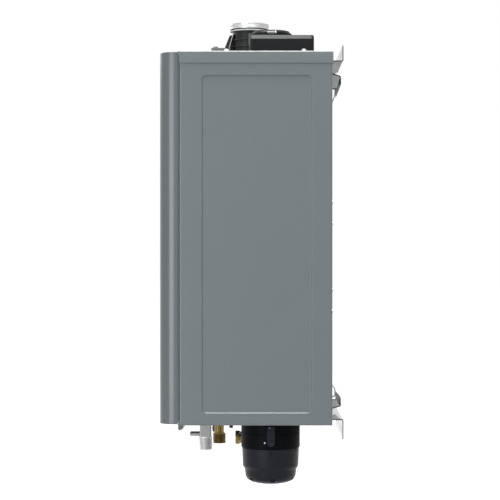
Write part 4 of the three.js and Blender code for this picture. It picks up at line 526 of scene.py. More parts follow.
def hanging_hook(node, base, direction, tongue, web, cut):
    """One hook, whose heights count from its fold at the base, up or down by the direction: its plate, a
    tab at each end that reaches the tongue's height, a web on both sides of the right tab, and a strip of
    painted shade along the edge of the sheet up to the height of the cut."""

    def at(y, height):
        """A point of the hook's side view at a height from the fold."""
        return y, base + direction * height

    plate_line = [at(hook_case_y, hook_plate), at(hook_case_y, 0)]
    tab_line = [
        at(hook_case_y, hook_foot), at(hook_case_y, 0), at(hook_out_y, hook_slant),
        at(hook_out_y, hook_lip), at(hook_tip_y, tongue),
    ]
    outer_web = [
        at(hook_case_y, 0), at(hook_out_y, hook_slant), at(hook_tip_y + hook_sheet / 2, web),
        at(hook_case_y, web),
    ]
    inner_web = [
        at(hook_case_y, 0), at(hook_out_y, hook_slant), at(hook_out_y, hook_lip),
        at(hook_tip_y, tongue), at(hook_tip_y, web), at(hook_case_y, web),
    ]
    cut_line = [at(hook_case_y, 0), at(hook_out_y, hook_slant), at(hook_out_y, cut)]
    tab_inner = hook_half - hook_tab
    parts = [plate(folded(plate_line, hook_sheet, plate_fold), -hook_half, hook_half, "x")]
    edges = []
    for side in (-1, 1):
        near, far = sorted((side * tab_inner, side * hook_half))
        parts.append(plate(folded(tab_line, hook_sheet, tab_fold), near, far, "x"))
        near, far = sorted((side * (hook_half - cut_half), side * (hook_half + cut_half)))
        edges.append(plate(folded(cut_line, hook_sheet, tab_fold), near, far, "x"))
    parts.append(plate(outer_web, hook_half - hook_sheet, hook_half - web_gap, "x"))
    parts.append(plate(inner_web, tab_inner, tab_inner + hook_sheet, "x"))
    piece(f"{node}_sheet", parts, "casing", spangled_zinc, [node], edge=0.3)
    piece(f"{node}_edges", edges, "casing", edge_shade_paint)


hanging_hook("upper_hook", base=-38.6, direction=-1, tongue=43.4, web=28.0, cut=hook_lip)
hanging_hook("lower_hook", base=-685.2, direction=1, tongue=31.7, web=16.0, cut=9.0)

# Cut ends of the wall brackets: the sheared edge of the strip at its left and right end, painted near black
# as painted shade
bracket_end_shade = finish(
    "bracket_end_shade", (0.045, 0.048, 0.048), (0.06, 0.063, 0.063), 0.004, 0.0004, 0.00001, (0.4, 0.5),
    specular=0.2,
)
bracket_half, bracket_sheet, bracket_fold = 130.0, 2.0, 2.0
shelf_y, bracket_wall_y = -22.0, -1.0
for bracket, shelf, end in (("upper", -14.3, 15.2), ("lower", -706.5, -744.4)):
    bracket_line = [(shelf_y, shelf), (bracket_wall_y, shelf), (bracket_wall_y, end)]
    bracket_outline = folded(bracket_line, bracket_sheet, bracket_fold)
    ends = [
        plate(bracket_outline, side * bracket_half - cut_half, side * bracket_half + cut_half, "x")
        for side in (-1, 1)
    ]
    piece(f"{bracket}_bracket_ends", ends, "casing", bracket_end_shade)

# Screws that hold the sheets: zinc-plated pan heads with a cross recess, on the cap near its edges and
# down the back of the wrap
plated_screw = finish(
    "plated_screw", (0.5, 0.5, 0.49), (0.62, 0.62, 0.6), 0.003, 0.0003, 0.00001, (0.2, 0.36),
    metallic=1.0,
)
cross_half, cross_reach = 0.13, 0.56
side_soft, end_soft = 0.05, 0.06
recess, dome = 0.55, 0.38
head_sunk = 0.4


def pan_head(place, axis, radius, height):
    """A pan head: over a disc of radius 1 its height is h (1 - 0.38 r^5), less a cross-shaped recess
    where the nearer of |x| and |y| is small and r isn't near the rim; then a rim and a flat underside
    sunk into what it holds."""
    steps, rows = 64, 22
    turn = np.arange(steps) * 2 * np.pi / steps
    r = np.linspace(0, 1, rows)[:, None]
    x, y = r * np.cos(turn), r * np.sin(turn)
    arm = np.clip((cross_half - np.minimum(np.abs(x), np.abs(y))) / side_soft, 0, 1)
    arm = arm * np.clip((cross_reach - r) / end_soft, 0, 1)
    top = height * (1 - dome * r**5) - recess * height * arm
    shell = np.stack((x * radius, y * radius, top), -1)
    rim = shell[-1] * (1, 1, 0) + (0, 0, -head_sunk)
    foot = rim * (0, 0, 1)
    points = np.concatenate((shell, rim[None], foot[None]))
    points = laid(points, axis) + np.asarray(place, float)
    return points.reshape(-1, 3), grid_faces(rows + 2, steps, False, True)


cap_screw_x, cap_screw_y = 225.0, (-224.3, -78.9)
back_screw_x, back_screw_z = 222.0, (-289.5, -329.6, -453.9, -493.9)
cap_head, back_head = (4.7, 5.2), (4.2, 2.2)
cap_screws = [
    pan_head((side * cap_screw_x, y, case_top), "z", *cap_head)
    for side in (-1, 1) for y in cap_screw_y
]
back_screws = [
    pan_head((side * back_screw_x, case_back, z), "y", *back_head)
    for side in (-1, 1) for z in back_screw_z
]
piece("sheet_screws", cap_screws + back_screws, "casing", plated_screw)

# Exhaust collar: moulded black socket for the vent pipe with two ribs, four fins and a round foot
# that is screwed to the cap through its flange
exhaust = (-120.0, -182.0)
port_bore = 30.8
collar_radius, collar_top = 33.5, 86.0
collar_foot = 52.0
foot_low, foot_high = -7.2, -3.2
root_radius, root_low = 35.0, -18.0
rib_levels, rib_out, rib_high = (39.5, 53.0), 2.6, 2.2
fin_inner, fin_outer, fin_half = 32.2, 50.5, 2.0
fin_shoulder, fin_top = 41.0, 67.5
foot_ring, foot_head = 44.0, (3.6, 2.4)
fin_waist = 65.0
socket_black = finish(
    "socket_black", (0.011, 0.0115, 0.0125), (0.015, 0.0157, 0.017), 0.03, 0.0007, 0.00002,
    (0.4, 0.5), specular=0.24,
)


def turned(profile, centre, axis="z", steps=96, shape=None, soft=0.0):
    """Turns a profile of (radius, height) points round an axis through the centre, its corners rounded
    where a soft radius is given. The radius may be shaped by a function of angle, height and radius.
    The profile closes on itself unless it starts and ends on the axis."""
    profile = np.asarray(profile, float)
    closed = profile[0, 0] > 0 or profile[-1, 0] > 0
    if soft:
        profile = softened(profile, soft, closed=closed)
    turn = np.arange(steps)[None] * 2 * np.pi / steps
    radius = np.repeat(profile[:, :1], steps, 1)
    height = np.repeat(profile[:, 1:2], steps, 1)
    if shape:
        radius = shape(turn, height, radius)
    points = np.stack((centre[0] + radius * np.cos(turn), centre[1] + radius * np.sin(turn), height), -1)
    return laid(points, axis).reshape(-1, 3), grid_faces(len(profile), steps, closed, True)


def turned_plate(outline, half, centre, angle):
    """A fin: an outline in radius and height, given a thickness and turned round an upright axis."""
    points, faces = plate(outline, -half, half, "y")
    c, s = np.cos(angle), np.sin(angle)
    x, y = points[:, 0] * c - points[:, 1] * s, points[:, 0] * s + points[:, 1] * c
    return np.column_stack((centre[0] + x, centre[1] + y, points[:, 2])), faces


rib_profile = [
    (collar_radius + out, low + up)
    for low in rib_levels for out, up in ((0, 0), (rib_out, 0), (rib_out, rib_high), (0, rib_high))
]
collar_profile = [
    (port_bore, root_low), (root_radius, root_low), (root_radius, foot_low), (collar_foot, foot_low),
    (collar_foot, foot_high), (collar_radius, foot_high), *rib_profile,
    (collar_radius, collar_top), (port_bore, collar_top),
]
fin_outline = softened(
    [
        (fin_inner, foot_high - 1), (fin_outer, foot_high - 1), (fin_outer, fin_shoulder),
        (fin_shoulder, fin_waist), (fin_inner, fin_top),
    ],
    2.0,
)
fins = [turned_plate(fin_outline, fin_half, exhaust, quarter * np.pi / 2) for quarter in range(4)]
foot_screws = [
    pan_head(
        (exhaust[0] + foot_ring * np.cos(angle), exhaust[1] + foot_ring * np.sin(angle), foot_high),
        "z", *foot_head,
    )
    for angle in np.radians([45, 135, 225, 315])
]
piece(
    "exhaust_socket", [turned(collar_profile, exhaust, soft=0.6), *fins], "casing",
    socket_black, ["exhaust_collar"], edge=0.4,
)
piece("foot_screws", foot_screws, "casing", plated_screw)

# Vent seal: black rubber sleeve over the collar's mouth, whose lip inside grips the pipe, and a pale ring
# below the clamp, painted pale as a painted highlight on the seal's lower edge
silicone = finish(
    "silicone", (0.55, 0.56, 0.56), (0.62, 0.63, 0.625), 0.02, 0.0005, 0.00002, (0.5, 0.65),
    specular=0.4,
)
sleeve_black = finish(
    "sleeve_black", (0.008, 0.008, 0.009), (0.012, 0.012, 0.013), 0.01, 0.0005, 0.00003, (0.5, 0.65),
    specular=0.2,
)
seal_inner, seal_outer, seal_low, seal_top = 33.8, 38.3, 74.0, 88.0
lip_low = 86.3
sleeve_profile = [
    (seal_inner, seal_low), (seal_outer, seal_low), (seal_outer, seal_top), (port_bore, seal_top),
    (port_bore, lip_low), (seal_inner, lip_low),
]
ring_outer, ring_low, ring_high = 39.5, 72.2, 75.0
ring_profile = [
    (seal_inner, ring_low), (ring_outer, ring_low), (ring_outer, ring_high), (seal_inner, ring_high),
]
piece(
    "rubber_sleeve", [turned(sleeve_profile, exhaust, soft=0.5)], "casing",
    sleeve_black, ["vent_seal"],
)
piece("seal_highlight_ring", [turned(ring_profile, exhaust, soft=0.5)], "casing", silicone)

# Worm-drive clamps: a rolled stainless band with slanting slots that a worm screw pulls along, and a
# stamped housing round the screw
intake = (90.0, -139.0)
band_thick = 1.8
worm_half = 6.0
worm_out = 9.0
worm_high, worm_bore = 4.0, 2.7
housing_corner, housing_edge = 3.2, 0.6
slot_pitch, slot_wide, slot_deep, slot_slant = 3.2, 1.3, 0.5, 0.25
slot_share = 0.64


def band(centre, inner, low, high):
    """A clamp's band. Its outside is cut 0.5 mm deep where a slanting wave of the angle has its slots:
    the slot's place along the band is R a + 0.25 z, taken within one pitch of 3.2 mm."""
    outer = inner + band_thick
    middle, half = (low + high) / 2, (high - low) / 2
    levels = np.unique(np.concatenate((
        [low, high], middle + np.linspace(-0.62, 0.62, 8) * half, middle + np.array([-0.68, 0.68]) * half,
    )))
    profile = [(inner, high), (inner, low)] + [(outer, level) for level in levels]

    def slotted(turn, height, radius):
        """The band's radius, less the depth of a slot inside the middle part of its height."""
        phase = (outer * turn + slot_slant * (height - middle)) % slot_pitch
        cut = (phase < slot_wide) & (np.abs(height - middle) < slot_share * half) & (radius > outer - 0.1)
        return radius - slot_deep * cut

    return turned(profile, centre, steps=480, shape=slotted)


def quarters(steps):
    """Angles of a full turn in four quarters, each with both of its ends."""
    return np.concatenate([np.linspace(q, q + 1, steps + 1) for q in range(4)]) * np.pi / 2


def round_box(a0, a1, b0, b1, corner, arc_steps=8):
    """Rectangle with round corners: the points of a circle, each quarter of it moved to a corner."""
    turn = quarters(arc_steps)
    quarter = np.repeat(np.arange(4), arc_steps + 1)
    side_a = np.array([1, -1, -1, 1])[quarter]
    side_b = np.array([1, 1, -1, -1])[quarter]
    a = (a0 + a1) / 2 + side_a * ((a1 - a0) / 2 - corner) + corner * np.cos(turn)
    b = (b0 + b1) / 2 + side_b * ((b1 - b0) / 2 - corner) + corner * np.sin(turn)
    return np.column_stack((a, b))


def round_hole(centre, radius, arc_steps=8):
    """A circle with a point for each point of a rectangle with round corners."""
    turn = quarters(arc_steps)
    return np.column_stack((centre[0] + radius * np.cos(turn), centre[1] + radius * np.sin(turn)))


def soft_rings(a, b, low, high, corner, edge, arc_steps):
    """Rings of a block with soft edges, from its lower to its upper face. Near both faces the inset
    e (1 - sin t) and the rise e (1 - cos t) follow a quarter of a circle of the edge's radius e."""
    rings = []
    for way, level in ((1, low), (-1, high)):
        for t in np.linspace(0, np.pi / 2, 4)[::way]:
            inset = edge * (1 - np.sin(t))
            ring = round_box(
                a[0] + inset, a[1] - inset, b[0] + inset, b[1] - inset, corner - inset * 0.5, arc_steps,
            )
            rings.append((ring, level + way * edge * (1 - np.cos(t))))
    return rings


def bored_block(a, b, low, high, corner, edge, bore, centre, axis):
    """A block with soft edges and a round hole through it: rings that run from the hole's rim over one
    face, up the sides and back over the other face to the hole."""
    hole = round_hole(centre, bore)
    rings = soft_rings(a, b, low, high, corner, edge, 8)
    return stacked([(hole, low), *rings, (hole, high)], axis, joined=True)


def soft_block(a, b, low, high, corner, edge, axis):
    """A solid block with soft edges."""
    return stacked(soft_rings(a, b, low, high, corner, edge, 4), axis)


housing_steel = finish(
    "housing_steel", (0.09, 0.093, 0.096), (0.13, 0.133, 0.136), 0.008, 0.0004, 0.00001, (0.3, 0.44),
    metallic=0.6,
)


def worm_clamp(name, centre, side, inner, low, high, band_finish):
    """Band and housing of one clamp, on one side of the collar."""
    middle = (low + high) / 2
    near = centre[0] + side * (inner + band_thick / 2)
    far = centre[0] + side * (inner + band_thick + worm_out)
    screw = centre[0] + side * (inner + band_thick + worm_out / 2)
    housing = bored_block(
        (min(near, far), max(near, far)), (middle - worm_high, middle + worm_high),
        centre[1] - worm_half, centre[1] + worm_half, housing_corner, housing_edge,
        worm_bore, (screw, middle), "y",
    )
    piece(
        f"{name}_band", [band(centre, inner, low, high)], "casing", band_finish,
        [f"{name}_clamp"], edge=0.15,
    )
    piece(f"{name}_housing", [housing], "casing", housing_steel, edge=0.15)
    dress(f"{name}_clamp_screw", plated_screw, 0.3)


moulded_black = finish(
    "moulded_black", (0.009, 0.0095, 0.0105), (0.013, 0.0137, 0.015), 0.03, 0.0007, 0.00002,
    (0.34, 0.44), edge=(0.02, 0.022, 0.025), specular=0.12,
)
worm_clamp(
    "exhaust", exhaust, side=-1, inner=38.6, low=77.0, high=87.5,
    band_finish=clamp_steel,
)
worm_clamp(
    "intake", intake, side=1, inner=38.7, low=35.6, high=41.8,
    band_finish=moulded_black,
)

# Fold of the cap: its rounded upper edge, painted much lighter than the coat as a painted highlight, and
# the folded front corners that close the cap down to the cover
fold_highlight_paint = finish(
    "fold_highlight_paint", (0.5, 0.52, 0.53), (0.56, 0.58, 0.59), 0.03, 0.0006, 0.00001, (0.3, 0.4),
    specular=0.4,
)
fold_half, fold_front, fold_rear = 236.75, -312.9, -24.3
fold_low, fold_high, fold_wide = case_top - 1.2, case_top + 0.5, 1.2
fold_corner, fold_round = 1.5, 0.6
corner_x = (235.4, 236.7)
corner_front, corner_rear, corner_low, corner_high = -315.3, -312.7, -15.0, -7.7


def fold_ring(inset):
    """Plan of the cap at a distance inside its edge."""
    return round_box(
        -fold_half + inset, fold_half - inset, fold_front + inset, fold_rear - inset,
        max(fold_corner - inset, 0.2), 3,
    )


fold_rings = [
    (fold_ring(0), fold_low), (fold_ring(0), fold_high - fold_round), (fold_ring(fold_round), fold_high),
    (fold_ring(fold_wide), fold_high), (fold_ring(fold_wide), fold_low),
]
piece("cap_fold_highlight", [stacked(fold_rings, joined=True)], "casing", fold_highlight_paint)
corner_outline = softened(
    [
        (corner_front, corner_low), (corner_rear, corner_low), (corner_rear, corner_high),
        (corner_front, corner_high),
    ],
    0.6,
)
corners = [
    plate(corner_outline, *corner_x, "x"), plate(corner_outline, -corner_x[1], -corner_x[0], "x"),
]
piece("cap_corners", corners, "casing", powder_coat)

# Strap on the exhaust collar: a bright spring strip that leans against the socket. Only its edge
# shows, as a bright slanting line.
bright_steel = finish(
    "bright_steel", (0.55, 0.56, 0.57), (0.66, 0.67, 0.68), 0.02, 0.0004, 0.00001, (0.14, 0.28),
    metallic=1.0, stretch=(6, 1, 1),
)
dress("collar_strap", bright_steel, 0.25)

# Air intake box: moulded black box with soft upper edges that spreads the air into the case, and the
# collar for the air pipe on its roof
box_black = finish(
    "box_black", (0.009, 0.0095, 0.0105), (0.013, 0.0137, 0.015), 0.03, 0.0006, 0.00003,
    (0.26, 0.36), specular=0.11,
)
box_left, box_right, box_front, box_rear = 16.0, 170.0, -181.0, -58.0
box_low, box_high = -7.2, 32.0
box_wall, box_corner, box_edge = 2.5, 6.0, 2.5
box_slope = 8.0
box_steps = 10


def box_ring(inset, slope=0.0):
    """Plan of the intake box at a distance inside its sides, with one more for the sloping side."""
    return round_box(
        box_left + inset, box_right - max(inset, slope), box_front + inset, box_rear - inset,
        max(box_corner - inset, 1.5), box_steps,
    )


box_hole = round_hole(intake, port_bore, box_steps)
box_rows = [(box_ring(box_wall), box_low), (box_ring(0), box_low), (box_ring(0), box_high - box_slope)]
for t in np.linspace(0, np.pi / 2, 7):
    drop = box_edge * (1 - np.sin(t))
    box_rows.append((box_ring(box_edge * (1 - np.cos(t)), box_slope - drop), box_high - drop))
rim = box_ring(box_edge, box_slope)
for share in (0.3, 0.6, 0.9, 1.0):
    box_rows.append((rim + (box_hole - rim) * share, box_high))
box_rows.append((box_hole, box_high - box_wall))
for inset, drop in ((box_edge + 1, box_wall), (box_wall, box_wall + 0.8), (box_wall, box_slope + 1)):
    slope = box_wall + box_slope - drop + box_wall if drop < box_slope else box_wall
    box_rows.append((box_ring(inset, slope), box_high - drop))
piece(
    "air_box", [stacked(box_rows, joined=True)], "casing", box_black, ["intake_box"],
    edge=0.5, crease=30,
)
air_seat, air_top = 32.3, 47.0
air_flange, air_radius, air_mouth = 40.5, 38.4, 34.6
air_collar_profile = [
    (port_bore, air_seat), (air_flange, air_seat), (air_flange, 35.3), (air_radius, 35.3),
    (air_radius, 41.6), (air_mouth, 46.9), (port_bore, air_top),
]
piece(
    "air_collar", [turned(air_collar_profile, intake, soft=0.5)], "casing",
    moulded_black, ["intake_collar"],
)

# Pipe ends under the case: turned fittings with a taper thread, a neck through the plate and a
# flange that rests on it. The gas end is machined steel, the two water ends are brass.
thread_radius = 13.35
thread_pitch = 1.81
thread_deep = 0.8
plate_top = -705.7
flange_radius, flange_high, neck_high = 15.0, 5.0, 15.7
machined_steel = finish(
    "machined_steel", (0.21, 0.21, 0.214), (0.3, 0.3, 0.304), 0.01, 0.0003, 0.00001, (0.18, 0.34),
    metallic=0.8, stretch=(1, 1, 8), edge=(0.4, 0.4, 0.4),
)
# Lit steel: a lighter copy of the machined steel for the whole gas end, painted light so that its thread
# looks as bright as a lit thread
thread_steel_lit = finish(
    "thread_steel_lit", (0.55, 0.55, 0.555), (0.68, 0.68, 0.685), 0.01, 0.0003, 0.00001, (0.2, 0.34),
    metallic=0.8, stretch=(1, 1, 8),
)
machined_brass = finish(
    "machined_brass", (0.155, 0.11, 0.034), (0.22, 0.157, 0.052), 0.012, 0.0003, 0.00001, (0.16, 0.3),
    metallic=0.85, stretch=(1, 1, 6), edge=(0.42, 0.32, 0.12),
)


def pipe_end(centre, bore, neck, thread_low, thread_high):
    """A turned fitting whose thread is a helix: the radius falls from its crest by a depth times
    1 - |2 f - 1|, where f is the fraction of z / pitch - a / (2 pi), and fades out at both ends."""
    levels = np.arange(thread_low + 0.6, thread_high, thread_pitch / 8)
    profile = [(bore, thread_low), (thread_radius - 1.2, thread_low)]
    profile += [(thread_radius, level) for level in levels]
    profile += [
        (thread_radius, thread_high), (neck, thread_high + 0.8), (neck, plate_top),
        (flange_radius, plate_top), (flange_radius, plate_top + flange_high),
        (neck, plate_top + flange_high), (neck, plate_top + neck_high), (bore, plate_top + neck_high),
    ]

    def helix(turn, height, radius):
        """The thread's radius, less its depth between the crests."""
        fraction = (height / thread_pitch - turn / (2 * np.pi)) % 1
        fade = np.clip((height - thread_low) / 1.4, 0, 1) * np.clip((thread_high - height) / 2.5, 0, 1)
        on_thread = (radius > thread_radius - 0.01) & (height < thread_high)
        return radius - on_thread * fade * thread_deep * (1 - np.abs(2 * fraction - 1))

    return turned(profile, centre, shape=helix)


gas, hot, cold = (20.0, -269.0), (-60.0, -243.0), (62.0, -180.0)
gas_bore, water_bore = 8.0, 7.0
gas_neck, water_neck = 10.5, 9.5
block_corner, block_edge = 2.0, 0.8
gas_half_x, gas_half_y, cold_half = 14.0, 11.5, 12.0
gas_low, gas_high = -750.0, -707.8
gas_thread, hot_thread, cold_thread = (-776.0, gas_low), (-771.6, -751.0), (-774.6, -759.2)
gas_block = bored_block(
    (gas[0] - gas_half_x, gas[0] + gas_half_x), (gas[1] - gas_half_y, gas[1] + gas_half_y),
    gas_low, gas_high, block_corner, block_edge, gas_bore, gas, "z",
)
piece(
    "gas_end", [pipe_end(gas, gas_bore, gas_neck, *gas_thread)], "casing",
    thread_steel_lit, ["gas_inlet_fitting"], edge=0.15,
)
piece("gas_block", [gas_block], "casing", machined_steel, edge=0.15)
piece(
    "hot_end", [pipe_end(hot, water_bore, water_neck, *hot_thread)], "casing",
    machined_brass, ["hot_outlet_fitting"],
)
cold_low, cold_high = -760.7, -733.7
cold_block = bored_block(
    (cold[0] - cold_half, cold[0] + cold_half), (cold[1] - cold_half, cold[1] + cold_half),
    cold_low, cold_high, block_corner, block_edge, water_bore, cold, "z",
)
strainer_axis = (cold[0], -747.2)
boss_bore, boss_radius, boss_front, boss_rear = 6.2, 11.5, -200.0, -190.5
strainer_boss = turned(
    [(boss_bore, boss_front), (boss_radius, boss_front), (boss_radius, boss_rear), (boss_bore, boss_rear)],
    strainer_axis, "y", soft=0.6,
)
cold_end = pipe_end(cold, water_bore, water_neck, *cold_thread)
piece(
    "cold_end", [cold_end, cold_block, strainer_boss], "casing", machined_brass,
    ["cold_inlet_fitting"], edge=0.15,
)

# Gas test point: a small plated plug with a tapered nose, screwed into the front of the gas block. It
# is taken out to read the gas pressure.
plug_level = -744.5
plug_profile = [(0, -300.8), (2.4, -300.8), (4.75, -298.4), (4.75, -280.8), (0, -280.8)]
piece(
    "test_plug", [turned(plug_profile, (gas[0], plug_level), "y", 64, soft=0.6)], "casing",
    machined_steel, ["gas_test_port"],
)

# Strainer cap: knurled brass plug with a coin slot, screwed into the boss of the cold end. It is
# unscrewed by hand to clean the strainer behind it.
knurls, knurl_deep = 60, 0.35
plug_radius, plug_face, plug_rear = 13.1, -209.3, -200.3
face_radius, face_round = 12.2, 0.9
stem_radius, stem_end = 5.9, -188.2
coin_half, coin_deep = 1.7, 1.6


def strainer_plug():
    """The cap: a disc whose face has a slot where |b| is under half the slot's width, a rim whose
    radius falls by a depth times 1 - |cos(n a / 2)| for n knurls, and the stem behind it."""
    steps = 240
    turn = np.arange(steps) * 2 * np.pi / steps
    r = np.concatenate((np.linspace(0, face_radius, 30), [12.7, 13.0, plug_radius]))[:, None]
    a, b = r * np.cos(turn), r * np.sin(turn)
    slot = np.clip((coin_half - np.abs(b)) / 0.3, 0, 1)
    rounding = np.where(r > face_radius, face_round * ((r - face_radius) / face_round) ** 2, 0)
    front = np.stack((a, b, plug_face + coin_deep * slot + rounding), -1)
    scallop = plug_radius - knurl_deep * (1 - np.abs(np.cos(turn * knurls / 2)))
    rows = [front]
    for reach, level in (
        (scallop, plug_face + 1.4), (scallop, -200.9), (12.6, plug_rear), (stem_radius, plug_rear),
        (stem_radius, stem_end), (0, stem_end),
    ):
        rows.append(np.stack((reach * np.cos(turn), reach * np.sin(turn), np.full(steps, level)), -1)[None])
    grid = np.concatenate(rows) + (strainer_axis[0], strainer_axis[1], 0)
    return laid(grid, "y").reshape(-1, 3), grid_faces(len(grid), steps, False, True)


piece("strainer_plug", [strainer_plug()], "strainer_cap", machined_brass, ["strainer_cap"])

# Condensate spout: black barbed stub of the trap, pushed through the plate, where the drain hose is
# pushed on; and a rubber blank that closes an unused hole
spout_black = finish(
    "spout_black", (0.015, 0.015, 0.016), (0.021, 0.021, 0.022), 0.02, 0.0005, 0.00002, (0.35, 0.5),
    specular=0.4,
)
spout, spout_bore, spout_radius, barb = (-115.0, -250.0), 6.3, 8.1, 9.3
barb_profile = [
    (spout_bore, -754.0), (spout_radius, -754.0), (barb, -744.7), (spout_radius, -744.7),
    (spout_radius, -717.1), (barb, -717.1), (barb, plate_top), (flange_radius, plate_top),
    (flange_radius, plate_top + flange_high), (barb, plate_top + flange_high), (barb, -690.0),
    (spout_bore, -690.0),
]
piece(
    "condensate_end", [turned(barb_profile, spout, steps=64, soft=0.3)], "casing",
    spout_black, ["condensate_spout"],
)
blank, blank_neck = (190.0, -216.0), 4.0
blank_profile = [
    (0, -716.5), (3.2, -716.5), (blank_neck, -710.3), (6.5, -710.3), (6.5, -707.8),
    (blank_neck, -707.8), (blank_neck, plate_top), (5.2, plate_top), (blank_neck, -703.2), (0, -703.2),
]
moulded_rubber = finish(
    "moulded_rubber", (0.014, 0.014, 0.015), (0.02, 0.02, 0.021), 0.01, 0.0005, 0.00003, (0.6, 0.75),
    specular=0.3,
)
piece(
    "rubber_blank", [turned(blank_profile, blank, steps=48, soft=0.6)], "casing",
    moulded_rubber, ["blank_grommet"],
)

# Filter head: moulded black cup through the bottom plate. Its skirt has a fine line round it, a
# shallow square pocket on the right, and two ears that carry the pin of the latch.
canister_black = finish(
    "canister_black", (0.0062, 0.0076, 0.0115), (0.0085, 0.0102, 0.0155), 0.03, 0.0006, 0.000012,
    (0.3, 0.4), edge=(0.02, 0.024, 0.03), specular=0.12,
)
# Head black: a darker, duller copy of the canister's black, painted shade for the upright skirt of the head
head_black_shaded = finish(
    "head_black_shaded", (0.0025, 0.003, 0.0042), (0.0035, 0.0041, 0.0057), 0.03, 0.0006, 0.000012,
    (0.36, 0.46), specular=0.03,
)
filter_axis = (160.0, -141.0)
skirt_low = -754.7
head_radius, skirt_inner = 56.0, 51.7
pocket_y = (8.0, 31.0)
pocket_z = (-749.5, -730.5)
pocket_deep, line_deep, line_level = 1.6, 0.5, -727.0
head_levels = np.unique(np.concatenate((
    np.linspace(-706, skirt_low + 1, 12), [line_level + 0.6, line_level, line_level - 0.6],
    *[level + np.array([-0.25, 0, 0.25]) for level in pocket_z],
)))[::-1]


def pocketed(turn, height, radius):
    """The skirt's radius, 1.6 mm less inside the pocket and 0.5 mm less along the fine line."""
    across = radius * np.sin(turn)
    edge_y = np.minimum(across - pocket_y[0], pocket_y[1] - across)
    edge_z = np.minimum(height - pocket_z[0], pocket_z[1] - height)
    deep = np.clip(np.minimum(edge_y, edge_z) / 0.4 + 0.5, 0, 1)
    outside = (radius > head_radius - 1) & (height < plate_top + 0.1)
    line = np.clip(1 - np.abs(height - line_level) / 0.55, 0, 1)
    return radius - outside * (pocket_deep * deep * (np.cos(turn) > 0) + line_deep * line)


head_top = softened(
    [
        (0, -690.0), (50.0, -690.0), (head_radius, -699.7), (63.0, -699.7), (63.0, plate_top),
        (head_radius, plate_top),
    ],
    0.5, closed=False,
)
head_inside = softened(
    [
        (head_radius, skirt_low + 0.9), (55.6, skirt_low), (52.2, skirt_low),
        (skirt_inner, skirt_low + 0.8), (skirt_inner, -702.0), (48.7, -696.0), (0, -696.0),
    ],
    0.4, closed=False,
)
head_profile = np.concatenate((head_top, [(head_radius, level) for level in head_levels], head_inside))
latch_y = filter_axis[1]
ear_x, ear_z, ear_thick, ear_near = (213.2, 224.6), (-719.2, -708.1), 2.5, 7.8
pin_axis, pin_radius, pin_half = (219.1, -714.0), 1.6, 11
latch_ears = [
    soft_block(ear_x, ear_z, min(y, y + w), max(y, y + w), 2.5, 0.4, "y")
    for y, w in ((latch_y + ear_near, ear_thick), (latch_y - ear_near, -ear_thick))
]
latch_pin = turned(
    [
        (0, latch_y - pin_half), (pin_radius, latch_y - pin_half), (pin_radius, latch_y + pin_half),
        (0, latch_y + pin_half),
    ],
    pin_axis, "y", 32, soft=0.4,
)
port_x, port_y, port_low, port_high = (120.0, 200.0), (-175.0, -107.0), -691.5, -630.0
port_block = soft_block(port_x, port_y, port_low, port_high, corner=14.0, edge=1.5, axis="z")
port_radius, port_tip, port_root, port_level = 9.0, 108.0, 130.0, -648.0
port_profile = [(0, port_tip), (port_radius, port_tip), (port_radius, port_root), (0, port_root)]
ports = [turned(port_profile, (y, port_level), "x", 48, soft=0.5) for y in (-161.0, -121.0)]
head_cup = turned(head_profile, filter_axis, steps=360, shape=pocketed)
piece(
    "filter_cup", [head_cup, *latch_ears, latch_pin, port_block, *ports], "casing",
    head_black_shaded, ["filter_head"],
)
dress("latch_lever", canister_black, 0.8, 3)

# Marks on the latch and the head: the steel rivet of the latch, and a small white dot beside it, a painted
# highlight
dot_highlight_paint = finish(
    "dot_highlight_paint", (0.62, 0.62, 0.6), (0.7, 0.7, 0.68), 0.01, 0.0004, 0.00001, (0.4, 0.5),
)
mark_steps = 32
dot_y, dot_z = -152.4, -742.5
dot_profile = [(0, 0.25), (1.2, 0.22), (1.7, 0.1), (1.8, -0.6), (0, -0.6)]
dot_angle = np.arcsin((dot_y - filter_axis[1]) / head_radius)
dot_x = filter_axis[0] + head_radius * np.cos(dot_angle)
dot_points, dot_faces = turned(dot_profile, (dot_y, dot_z), "x", mark_steps)
piece("highlight_dot", [(dot_points + (dot_x, 0, 0), dot_faces)], "casing", dot_highlight_paint)
rivet_x, rivet_y, rivet_z = 221.6, -143.6, -713.4
rivet_profile = [(0, 0.5), (0.8, 0.45), (1.4, 0.1), (1.5, -0.5), (0, -0.5)]
rivet_points, rivet_faces = turned(rivet_profile, (rivet_y, rivet_z), "x", mark_steps)
rivet_steel = finish(
    "rivet_steel", (0.1, 0.1, 0.11), (0.15, 0.15, 0.16), 0.003, 0.0003, 0.00001, (0.3, 0.45),
    metallic=0.6,
)
piece(
    "latch_rivet", [(rivet_points + (rivet_x, 0, 0), rivet_faces)], "latch_lever",
    rivet_steel,
)

# Cable bracket: a small zinc-plated cover on the cap near the front, held by one screw, over the hole
# where the cables go in
bridge_x, bridge_y = (175.0, 199.0), (-253.6, -228.0)
bridge_low, bridge_top = case_top + 0.1, 3.1
bridge_cover = soft_block(bridge_x, bridge_y, bridge_low, bridge_top, corner=1.6, edge=0.6, axis="z")
bridge_screw = pan_head((187.0, -245.5, bridge_top), "z", radius=4.6, height=3.9)
cover_zinc = finish(
    "cover_zinc", (0.1, 0.105, 0.105), (0.15, 0.155, 0.155), 0.006, 0.0004, 0.00001, (0.3, 0.44),
    metallic=0.4,
)
piece(
    "cable_cover", [bridge_cover, bridge_screw], "casing", cover_zinc,
    ["cable_bracket"],
)

